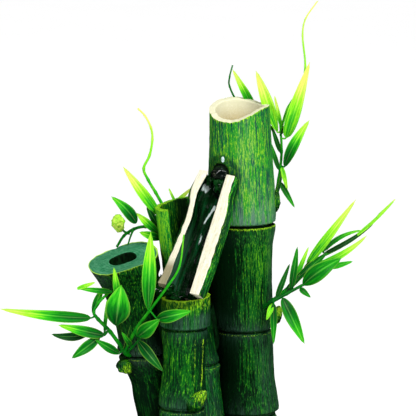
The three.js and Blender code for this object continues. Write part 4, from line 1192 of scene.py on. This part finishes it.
SPRIGS = {
    "sprig_right_top": {
        "stems": [
            (1.4, 0.8, (0.32, 0.5), [(42, 31.5, 208), (45, 34, 216), (49, 38, 235), (51, 40, 254),
                                     (50, 40, 273)]),
            (0.9, 0.45, (0.45, 1.05), [(50, 40, 268), (55, 42, 284), (64, 41, 299), (67, 38, 314),
                                       (65, 36, 335), (67, 35, 347), (75, 34, 359)]),
            (0.9, 0.5, (0.25, 0.3), [(50, 40, 256), (44, 45, 270), (33, 48, 281), (21, 46, 288),
                                     (15, 45, 299), (15, 44, 306), (17, 44, 314)]),
        ],
        "leaves": [
            leaf((48, 40, 268), (33, 36, 311), 8.2, 3, PALE, widest=0.45),
            leaf((51, 40, 270), (46, 42, 293), 2.8, 1, (0.5, 1.0)),
            leaf((33, 47, 281), (17, 44, 311), 6, 2, (0.36, 0.98)),
            leaf((54, 39, 264), (70, 36, 317), 9.4, 4, (0.54, 0.98), widest=0.3),
            leaf((50, 39, 266), (62.5, 38, 297), 3.0, 1, (0.1, 0.3), sway=1.5),
            leaf((53, 38, 244), (70, 34, 277), 7.5, 3, (0.22, 0.85), sway=-1.5, widest=0.4),
            leaf((51, 39, 244), (55, 36, 228), 3.4, 1, (0.6, 0.75)),
            leaf((50, 38, 233), (60, 34, 216), 4, 1, (0.2, 0.5)),
            leaf((50, 40, 254), (44, 42, 272), 3.4, 1, DARK),
            leaf((49, 39, 242), (43, 42, 261), 3.4, 1, MIXED),
            leaf((46, 36, 222), (51, 38, 242), 3.4, 1, DARK, turn=50),
        ],
    },
    "sprig_right_middle": {
        "stems": [
            (1.5, 1.0, (0.12, 0.3), [(38, 11, 150), (44, 6, 155), (54, 4, 161), (66, 2, 168)]),
            (1.3, 0.4, (0.15, 0.9), [(42, 7, 154), (50, 8, 160), (59, 10, 168), (72, 14, 181),
                                     (91, 16, 191), (107, 16, 202), (118, 14, 215), (128, 12, 225)]),
        ],
        "leaves": [
            leaf((65, 2, 167.5), (91, -6, 187.5), 11.5, 4, (0.28, 0.44), widest=0.42, sway=-1.5),
            leaf((83, 4, 179), (99, 6, 183), 4, 1, (0.4, 0.5)),
            leaf((68, 12, 180), (101, 6, 226), 6.4, 3, (0.62, 0.95), widest=0.33),
            leaf((79, 14, 188.5), (106, 16, 203), 3.4, 1, (0.2, 0.6), sway=-3),
            leaf((80, 15, 187), (114, 16, 208), 3.4, 1, (0.02, 0.16), sway=1.5),
            leaf((100, 15, 198), (128.2, 12, 225.2), 2.4, 0.5, (0.7, 0.8), sway=1),
            leaf((57, 10, 167), (82, 13, 188), 5.5, 1.5, (0.06, 0.24), widest=0.5),
            leaf((52, 8, 160), (72, 13, 178), 4, 1, (0.1, 0.3), sway=-1),
            leaf((72, 12, 178), (109, 12, 200), 5, 1, (0.5, 0.85), sway=2.5),
            leaf((57, 6, 163), (61, 2, 194), 5, 2, (0.15, 0.35), widest=0.4),
            leaf((60, 10, 170), (69, 12, 192), 3.4, 1, (0.5, 0.85)),
            leaf((47, 6, 158), (56, 8, 181), 4, 1, DARK),
            leaf((66, 12, 176), (76, 13, 186), 4, 1, (0.12, 0.3)),
            leaf((63, 2, 165), (70, -2, 159.5), 4, 1, (0.25, 0.4)),
            leaf((51, 4, 158), (66, -4, 127.5), 9, 3, (0.15, 0.5), widest=0.36),
            leaf((45, 4, 154), (45, 0, 126.5), 5, 1, (0.18, 0.5)),
            leaf((44, 5, 153), (40, -1, 143.5), 4, 1, (0.6, 0.66)),
        ],
    },
    "sprig_left": {
        "stems": [
            (1.5, 0.9, (0.25, 0.5), [(-53, -15, 122), (-56, -20, 125), (-66, -24, 140), (-74, -26, 149),
                                     (-77, -26, 154), (-74, -25, 160), (-67, -24, 167)]),
            (1.5, 0.5, (0.26, 0.62), [(-53, -16, 122), (-56, -20, 126), (-48, -32, 144),
                                      (-39, -40, 158), (-27, -44, 175), (-19, -46, 189),
                                      (-16, -50, 211)]),
            (1.0, 0.7, (0.2, 0.3), [(-55, -18, 124), (-51, -26, 130), (-47, -30, 135)]),
        ],
        "leaves": [
            leaf((-79, -26, 150), (-140, -30, 157), 7.8, 3, (0.24, 0.88), widest=0.3, sway=-1),
            leaf((-70, -26, 138), (-101, -30, 146), 7.5, 3, (0.14, 0.66), widest=0.36),
            leaf((-80, -23, 139), (-106, -22, 138), 6, 2, DARK, widest=0.4, sway=-2),
            leaf((-73, -26, 137), (-92, -30, 123), 7.5, 3, (0.16, 0.34), widest=0.42),
            leaf((-60, -24, 125), (-76, -30, 136), 6, 2, (0.22, 0.4), widest=0.45),
            leaf((-65, -24, 167.5), (-88, -29, 171), 4, 2, (0.3, 0.62)),
            leaf((-88, -29, 170.6), (-76, -27, 174.6), 3, 1, (0.6, 0.75)),
            leaf((-62, -32, 146), (-58, -38, 175), 17, 5, (0.20, 0.60), widest=0.5),
            leaf((-60, -33, 164), (-63, -34, 186), 5, 1, (0.4, 0.72)),
            leaf((-40, -41, 159), (-38, -44, 212), 9.6, 4, (0.30, 0.74), widest=0.42),
            leaf((-34, -44, 153), (-11, -52, 160), 8.5, 3, (0.28, 0.56), widest=0.4),
            leaf((-47, -34, 139), (-32, -50, 154), 10, 3, (0.18, 0.42), widest=0.5),
            leaf((-47, -30, 135), (-30, -46, 117.5), 7.5, 3, (0.08, 0.22), widest=0.42),
            leaf((-78, -24, 154), (-71, -22, 170), 5, 1, (0.2, 0.6), widest=0.45),
            leaf((-70, -24, 139), (-68, -22, 162), 2.7, 1, (0.3, 0.6), widest=0.45),
            leaf((-57, -22, 128), (-52, -30, 146), 3.4, 1, DARK, turn=40),
            leaf((-52, -26, 131), (-58, -34, 142), 3.6, 1, MIXED),
        ],
    },
    "sprig_rear_left": {
        "stems": [
            (1.3, 0.9, (0.2, 0.35), [(-28, 15, 200), (-33, 18, 203), (-43, 19, 205), (-51, 21, 203),
                                     (-58, 22.5, 198), (-63, 24, 190)]),
            (1.2, 0.6, (0.34, 1.1), [(-26, 20, 212), (-30, 20, 218), (-36, 18, 229), (-41, 16, 238),
                                     (-44, 15, 246), (-40, 15, 255), (-38, 15, 266), (-39, 16, 274),
                                     (-43, 17, 282), (-48, 18, 287)]),
            (0.9, 0.7, (0.3, 0.3), [(-54, 22, 199.5), (-57, 22.5, 200.5), (-60, 23, 203)]),
            (0.8, 0.6, (0.3, 0.25), [(-51, 21, 203), (-53, 20, 199), (-55, 18, 193)]),
        ],
        "leaves": [
            leaf((-33, 16, 213), (-58, 10, 248), 7.4, 3, (0.5, 0.98), widest=0.4),
            leaf((-33, 16, 204), (-42, 12, 220), 5, 1, (0.06, 0.12), widest=0.45),
            leaf((-49, 10, 209), (-66, 6, 228), 8, 3, (0.16, 0.66), widest=0.36, sway=1.5),
            leaf((-33, 16, 200), (-49, 10, 216), 5.6, 2, (0.2, 0.78), widest=0.5),
            leaf((-32, 16, 197), (-47, 8, 203), 6, 2, (0.12, 0.7), widest=0.5),
            leaf((-22, 24, 220), (-27, 24, 231), 2, 1, (0.6, 0.85)),
            leaf((-22, 26, 221), (-11, 26, 231), 3, 1, (0.7, 0.95)),
        ],
    },
}
BUD_LEAF = {"foot": (-61, 23, 200.5), "tip": (-62.5, 23, 212.8), "width": 8.4}


def leaf_blade(design):
    """Rings along a leaf, a thin folded blade with raised parallel veins and a drawn-out tip, with
    how far along and across the leaf each point lies."""
    root, tip, width = design["root"], design["tip"], design["width"]
    along = unit(tip - root)
    face = np.array([0, -1, 0.15])
    face = unit(face - along * (face @ along))
    turn = math.radians(design["turn"])
    face = face * math.cos(turn) + np.cross(along, face) * math.sin(turn)
    across = np.cross(along, face)
    stations = np.linspace(0, 1, LEAF_RINGS)
    power = math.log(0.5) / math.log(design["widest"])
    side = np.linspace(-1, 1, LEAF_POINTS)
    inward = 1 - side ** 2
    rings = []
    for t in stations:
        half = 0.45 + (width / 2 - 0.45) * math.sin(math.pi * t ** power) ** 0.95
        half *= 1 - smooth_step(t, 0.93, 1.0) * 0.85
        bend = 4 * t * (1 - t) * (face * design["bow"] + across * design["sway"])
        twist = 0.30 * (t - 0.5) * (1 if width > 5 else 0.4)
        fold = half * (0.30 * np.abs(side) ** 1.25 + 0.05 * np.cos(9 * side) * inward)
        round_end = math.sin(math.pi * min(t + 0.04, 1)) ** 0.3
        thick = 0.10 + 0.24 * np.sqrt(np.clip(inward, 0, 1)) * round_end
        lift = fold + twist * side * half
        middle = root + (tip - root) * t + bend + np.outer(side * half, across)
        upper, lower = (middle + np.outer(lift + depth, face) for depth in (thick, -thick))
        rings.append(np.vstack([upper, lower[::-1]]))
    sides = np.concatenate([side, side[::-1]])
    return np.array(rings), np.repeat(stations, len(sides)), np.tile(sides, len(stations))


def leaf_tone(shares, tones, seed):
    start, end = tones
    return start + (end - start) * smooth_step(shares, 0.12, 0.9) + 0.05 * math.sin(seed * 2.4)


def join_skins(name, skins, materials):
    """One mesh of several closed skins. Each is (rings, {attribute: values on the ring points})."""
    corners, faces, columns = [], [], {}
    offset = 0
    for rings, attributes in skins:
        points, ring_faces, _ = skin(rings)
        corners.append(points)
        faces += [[i + offset for i in face] for face in ring_faces]
        for key, values in attributes.items():
            columns.setdefault(key, []).append(values)
        offset += len(points)
    piece = mesh_object(name, np.vstack(corners), faces, materials)
    set_attributes(piece, **{key: np.concatenate(values) for key, values in columns.items()})
    return piece


def leaf_stalk(design, paths, tone):
    """A thin stalk from the nearest stem to the start of a leaf."""
    root, tip = design["root"], design["tip"]
    points = np.vstack(paths)
    nearest = points[np.argmin(np.linalg.norm(points - root, axis=1))]
    route = [root, root + 0.12 * (tip - root)]
    if 0.8 < np.linalg.norm(nearest - root) < 10:
        route.insert(0, nearest)
    path = smooth_path(route, LEAF_STALK_STEPS)
    rings = tube_rings(path, np.linspace(0.65, 0.5, len(path)), LEAF_STALK_SIDES)
    values = {"along": 0.0, "across": 0.5, "tone": tone}
    return rings, {key: np.full(rings.size // 3, value) for key, value in values.items()}


def sprig(name, design):
    skins, paths = [], []
    for start, end, (dark, light), points in design["stems"]:
        path = smooth_path(points, STEM_STEPS)
        paths.append(path)
        shares = np.linspace(0, 1, len(path))
        knots = 1 + 0.22 * sum(hill(shares, share, 0.012)
                               for share in np.arange(1, len(points) - 1) / (len(points) - 1))
        radii = np.linspace(start, end, len(path)) * knots
        along = np.repeat(shares, STEM_SIDES)
        attributes = {"along": along, "across": np.full(len(along), 0.5),
                      "tone": dark + (light - dark) * along ** 1.2}
        skins.append((tube_rings(path, radii, STEM_SIDES), attributes))
    for number, blade in enumerate(design["leaves"]):
        rings, shares, sides = leaf_blade(blade)
        tone = leaf_tone(shares, blade["tone"], number)
        skins.append((rings, {"along": shares, "across": sides, "tone": tone}))
        skins.append(leaf_stalk(blade, paths, max(0.12, blade["tone"][0])))
    if name == "sprig_rear_left":
        skins.append(folded_bud())
    piece = join_skins(name + "_leaves", skins, [LEAF])
    return place(piece, "cluster", "leaf_plastic", [name], sharp_angle=60)


def folded_bud():
    """The crumpled young leaf bud at the end of the rear sprig."""
    shares = np.linspace(0, 1, BUD_LEAF_RINGS)
    path = np.linspace(BUD_LEAF["foot"], BUD_LEAF["tip"], BUD_LEAF_RINGS)
    radii = BUD_LEAF["width"] / 2 * np.sin(math.pi * (0.04 + 0.92 * shares)) ** 0.55
    rings = tube_rings(path, radii, BUD_LEAF_SIDES)
    folds = np.abs(noise_at(rings, (0.42, 0.42, 0.22), 3.0))
    folds += 0.5 * np.abs(noise_at(rings, 0.8, 5.0))
    rings += (rings - path[:, None, :]) * (0.30 - 0.75 * folds[:, :, None])
    across = np.clip(2.4 * folds.ravel(), 0, 1)
    return rings, {"along": np.repeat(shares, BUD_LEAF_SIDES), "across": across,
                   "tone": 0.72 + 0.25 * across}


# ---------------------------------------------------------------- rock, bowl and pebbles


def refined_copy(name, node, material, voxel=None, levels=None):
    """A finer copy of a CAD node's mesh, remeshed or subdivided."""
    piece = bpy.data.objects.new(name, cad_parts[node].data.copy())
    bpy.context.scene.collection.objects.link(piece)
    piece.data.materials.clear()
    piece.data.materials.append(material)
    if voxel:
        modifier = piece.modifiers.new("even", "REMESH")
        modifier.mode = "VOXEL"
        modifier.voxel_size = voxel * MM
    if levels:
        piece.modifiers.new("weld", "WELD").merge_threshold = 1e-6
        modifier = piece.modifiers.new("round", "SUBSURF")
        modifier.levels = modifier.render_levels = levels
    apply_modifiers(piece)
    stored_normals = piece.data.attributes.get("custom_normal")
    if stored_normals:
        piece.data.attributes.remove(stored_normals)
    return piece


def corner_normals(mesh):
    return read_vectors(mesh.vertex_normals, "vector")


def move_along_normals(piece, amount):
    mesh = piece.data
    move_corners(mesh, corner_points(mesh) + corner_normals(mesh) * amount[:, None])


def cad_box(node):
    """The lowest and highest corners of a CAD node, in millimetres."""
    return (np.array(corner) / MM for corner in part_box(node))


def pedestal_rock():
    piece = refined_copy("rock_pedestal", "pedestal", rock_paint(), voxel=ROCK_VOXEL)
    points = corner_points(piece.data)
    (_, _, low), (_, _, high) = cad_box("pedestal")
    slabs = np.abs(noise_at(points, (0.035, 0.035, 0.085), 3.0))
    blocks = np.abs(noise_at(points, (0.09, 0.09, 0.06), 9.0))
    fine = noise_at(points, 0.25, 5.0)
    depth = 3.6 * smooth_step(slabs, 0.0, 0.5) + 1.8 * blocks + 0.5 * fine
    height = points[:, 2]
    ends = smooth_step(height, low, low + 4) * (1 - smooth_step(height, high - 3, high))
    move_along_normals(piece, np.minimum(-depth * (0.12 + 0.88 * ends), 0.2))

    points, upward = corner_points(piece.data), corner_normals(piece.data)[:, 2]
    gap = np.min([gap_to_stalk(points, stalk) for stalk in STALKS.values()], 0)
    # Painted shade in the hollows between the slabs and round the stalks' feet.
    hollows = np.exp(-np.maximum(gap, 0) / 3.0) + 0.8 * smooth_step(0.16 - slabs, 0, 0.16)
    set_attributes(piece, moss=0.9 * smooth_step(upward, 0.1, 0.9),
                   wash=0.85 * np.clip(hollows, 0, 1))
    return place(piece, "cluster", "rock_resin", ["pedestal"], sharp_angle=70)


# The bowl's section, as [radius, height] pairs: up its outside, and from its rim down inside.
BOWL_OUTSIDE = [[84, 2.3], [90, 4.8], [95, 9], [100, 14.2], [104, 20], [106.4, 23.6], [107, 24.5],
                [106.2, 25.4], [105, 26], [106, 26.8], [107.5, 28], [108.8, 32], [109.5, 36],
                [110, 43], [110, 46.4], [109.6, 47.4], [108.5, 48]]
BOWL_INSIDE = [[105.4, 48], [104.4, 47.4], [104, 46], [103.6, 40], [103, 34], [101, 27], [98, 20],
               [95, 15.6], [91, 12], [87, 9.6], [82, 8], [60, 8], [40, 8], [20, 8]]


def refine(pairs, step):
    """More [radius, height] pairs between the given ones, no further apart than a step."""
    finer = []
    for (r0, z0), (r1, z1) in zip(pairs, pairs[1:]):
        count = max(1, math.ceil(math.hypot(r1 - r0, z1 - z0) / step))
        finer += [[r0 + (r1 - r0) * i / count, z0 + (z1 - z0) * i / count] for i in range(count)]
    return finer + [pairs[-1]]


def bowl():
    outside = [[40, 2.3]] + refine(BOWL_OUTSIDE, 1.6)
    angles = full_turn(BOWL_SIDES)
    rings = []
    for number, (radius, height) in enumerate(outside + [[107, 48.1]] + refine(BOWL_INSIDE, 2.5)):
        around = circle(angles, height * 0.03)
        wobble = 0.35 * noise_at(around, (2.2, 2.2, 1.0), 2.0)
        wobble += 0.18 * noise_at(around, (14, 14, 1.0), 6.0)
        if number < len(outside):
            wobble = np.minimum(wobble, 0)
        reach = radius + wobble * (height > 4)
        rings.append(circle(angles, height)
                     * np.column_stack([reach, BOWL_NARROWING * reach, np.ones(BOWL_SIDES)]))
    piece = skin_object("bowl_cast", rings, [PAINT["cup"], SHADE_DARK], [len(outside)])

    low, high = cad_box("cable_grommet")
    x, _, z = (low + high) / 2
    path = np.array([[x, low[1] - 4, z], [x, high[1] + 4, z]])
    cut_away(piece, [skin_object("cable_hole", tube_rings(path, [4.5, 4.5], 32))])

    points = corner_points(piece.data)
    height = points[:, 2]
    angle = np.arctan2(points[:, 1] / BOWL_NARROWING, points[:, 0])
    # The wash is the dark paint of the node groove, with painted shade at the foot where the bowl meets
    # the floor.
    set_attributes(
        piece, grain=np.column_stack([angle * 100, 0 * height, height * 1.2]),
        tone=0.05 * np.sin(3 * angle),
        wear=0.75 * smooth_step(height, 44, 47.6) + 0.4 * hill(height, 24.3, 1.2),
        bloom=0.7 * np.exp(-np.abs(height - 28) / 3) + 0.15,
        wash=hill(height, 25.9, 0.7) + 0.8 * np.exp(-(height - 2.3) / 3),
    )
    return place(piece, "bowl", "painted_resin", ["bowl"], sharp_angle=50)


def pebbles():
    stone = pebble_stone()
    names = [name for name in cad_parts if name.startswith("pebble_")]
    for number, name in enumerate(sorted(names, key=lambda text: int(text.split("_")[1]))):
        piece = refined_copy("river_" + name, name, stone, levels=PEBBLE_LEVELS)
        points = corner_points(piece.data)
        lumps = noise_at(points, 0.09, number * 7.3) + 0.4 * noise_at(points, 0.25, number)
        move_along_normals(piece, 0.9 * lumps)
        set_attributes(piece, tone=np.full(len(points), 0.5 + 0.5 * math.sin(number * 2.4)))
        place(piece, "bowl", "pebbles", [name], sharp_angle=80)


# ---------------------------------------------------------------- pump and small parts


def finish_cad_node(name, material):
    """Gives a CAD node its material and rounds its edges, without moving its corners."""
    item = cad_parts[name]
    if not item.material_slots:
        item.data.materials.append(material)
    for material_slot in item.material_slots:
        material_slot.material = material
    bevel = item.modifiers.new("soft_edges", "BEVEL")
    bevel.width = SOFT_EDGE * MM
    bevel.segments = 2
    bevel.limit_method = "ANGLE"
    bevel.angle_limit = math.radians(35)
    bevel.use_clamp_overlap = True


def pump():
    plastic = moulded("pump_plastic", (0.012, 0.013, 0.015), 0.42)
    rubber = moulded("rubber", (0.014, 0.014, 0.015), 0.72, 0.5)
    for name in ("pump_housing", "volute_cover", "motor_lid", "intake_grille"):
        finish_cad_node(name, plastic)
    for name in ("cable_grommet", "volute_seal", "rear_bush", "front_bush", "cable_gland",
                 "pump_foot_1", "pump_foot_2", "pump_foot_3", "pump_foot_4"):
        finish_cad_node(name, rubber)
    for name, material in {
        "base_pad": moulded("foam_pad", (0.028, 0.030, 0.033), 0.92, 0.9),
        "rotor_shaft": moulded("shaft_ceramic", (0.78, 0.75, 0.68), 0.28, 0.6),
        "rotor_magnet": moulded("magnet", (0.045, 0.042, 0.040), 0.55, 0.5, 0.3),
        "impeller": moulded("impeller_plastic", (0.70, 0.69, 0.64), 0.4),
        "stator_core": moulded("core_steel", (0.42, 0.43, 0.44), 0.36, 0.4, 0.9),
        "stator_coil": coil_copper(),
        "flow_regulator": moulded("regulator_plastic", (0.020, 0.045, 0.060), 0.5),
    }.items():
        finish_cad_node(name, material)


# ---------------------------------------------------------------- studio


def studio():
    floor_finish = Finish("studio_floor", Roughness=0.85, Specular_IOR_Level=0.2)
    cloud = floor_finish.noise(floor_finish.object_place(0.004), 2.0)
    floor_colour = floor_finish.mix(cloud, (0.97, 0.97, 0.97), (0.99, 0.99, 0.99))
    corners = np.array([(-1, -1, 0), (1, -1, 0), (1, 1, 0), (-1, 1, 0)]) * FLOOR_HALF
    floor = mesh_object("studio_floor", corners, [(0, 1, 2, 3)],
                        [floor_finish.set(Base_Color=floor_colour)])
    floor.visible_glossy = False

    world = bpy.data.worlds.new("studio")
    world.use_nodes = True
    tree = world.node_tree
    direction = tree.nodes.new("ShaderNodeTexCoord").outputs["Generated"]
    parts = tree.nodes.new("ShaderNodeSeparateXYZ")
    tree.links.new(direction, parts.inputs[0])
    side = tree.nodes.new("ShaderNodeMapRange")
    for socket, value in zip(side.inputs[1:5], (-1.0, 1.0, 0.32, 0.58)):
        socket.default_value = value
    tree.links.new(parts.outputs["X"], side.inputs[0])
    tree.links.new(side.outputs[0], tree.nodes["Background"].inputs["Strength"])
    tree.nodes["Background"].inputs["Color"].default_value = (1, 1, 1, 1)
    world.cycles_visibility.glossy = False
    bpy.context.scene.world = world

    add_sun("key", 2.85, (0.40, -0.72, 1.0), 28)
    add_area("fill_left", (-0.75, -0.9, 0.75), 0.12, 4)
    add_area("fill_right", (0.9, -0.7, 0.9), 0.16, 4)
    add_area("glint_left", (-0.55, -1.0, 0.95), 0.30, 4).visible_diffuse = False
    add_area("glint_right", (0.55, -1.1, 0.80), 0.30, 3).visible_diffuse = False

    camera = bpy.data.cameras.new("camera")
    camera.sensor_width = SENSOR
    camera.lens = LENS
    camera.clip_end = STUDIO_FAR
    eye = bpy.data.objects.new("camera", camera)
    tilt = math.radians(CAMERA_ELEVATION)
    offset = np.array([0, -math.cos(tilt), math.sin(tilt)]) * CAMERA_DISTANCE
    eye.location = ((np.array(CAMERA_TARGET) + offset) * MM).tolist()
    eye.rotation_euler = (math.pi / 2 - tilt, 0, 0)
    bpy.context.scene.collection.objects.link(eye)
    bpy.context.scene.camera = eye
    bpy.context.scene.view_settings.view_transform = "Standard"


def aim_light(name, lamp, location):
    """Puts a light at a place in metres, aimed at the middle of the stalks."""
    item = bpy.data.objects.new(name, lamp)
    item.location = location
    aim = np.array(CAMERA_TARGET) * MM - np.array(location)
    item.rotation_euler = (math.atan2(math.hypot(aim[0], aim[1]), -aim[2]), 0,
                           math.atan2(aim[1], aim[0]) - math.pi / 2)
    bpy.context.scene.collection.objects.link(item)
    return item


def add_sun(name, strength, location, spread):
    """A large soft light far away, that shines from a place in metres and leaves no glare."""
    lamp = bpy.data.lights.new(name, "SUN")
    lamp.energy = strength
    lamp.angle = math.radians(spread)
    aim_light(name, lamp, location).visible_glossy = False


def add_area(name, location, size, power):
    """A small soft box, in metres and watts."""
    lamp = bpy.data.lights.new(name, "AREA")
    lamp.shape = "SQUARE"
    lamp.size = size
    lamp.energy = power
    return aim_light(name, lamp, location)


# ---------------------------------------------------------------- the scene

studio()
tall_stalk_lower()
tall_stalk_upper()
rear_stalk()
cup_stalk()
left_stalk()
trough()
supply()
bud_piece("tall_bud_upper", (46, 24.5, 214), (47.6, 23.5, 230), 6.4, PAINT["left"], 0.25)
bud_piece("tall_bud_lower", (46.5, 24, 136), (49.5, 23, 149), 7.5, PAINT["cup"], 0.55)
bud_piece("cup_bud", (-13.5, -42.5, 89.5), (-1.4, -45, 104), 10.4, PAINT["cup"], 0.5, 0.8)
bud_piece("left_bud", (-60.5, -15, 118.5), (-52.5, -18, 110), 10.2, PAINT["cup"], 0.5, 0.7)
sealant()
for sprig_name, sprig_design in SPRIGS.items():
    sprig(sprig_name, sprig_design)
pedestal_rock()
bowl()
pebbles()
pump()
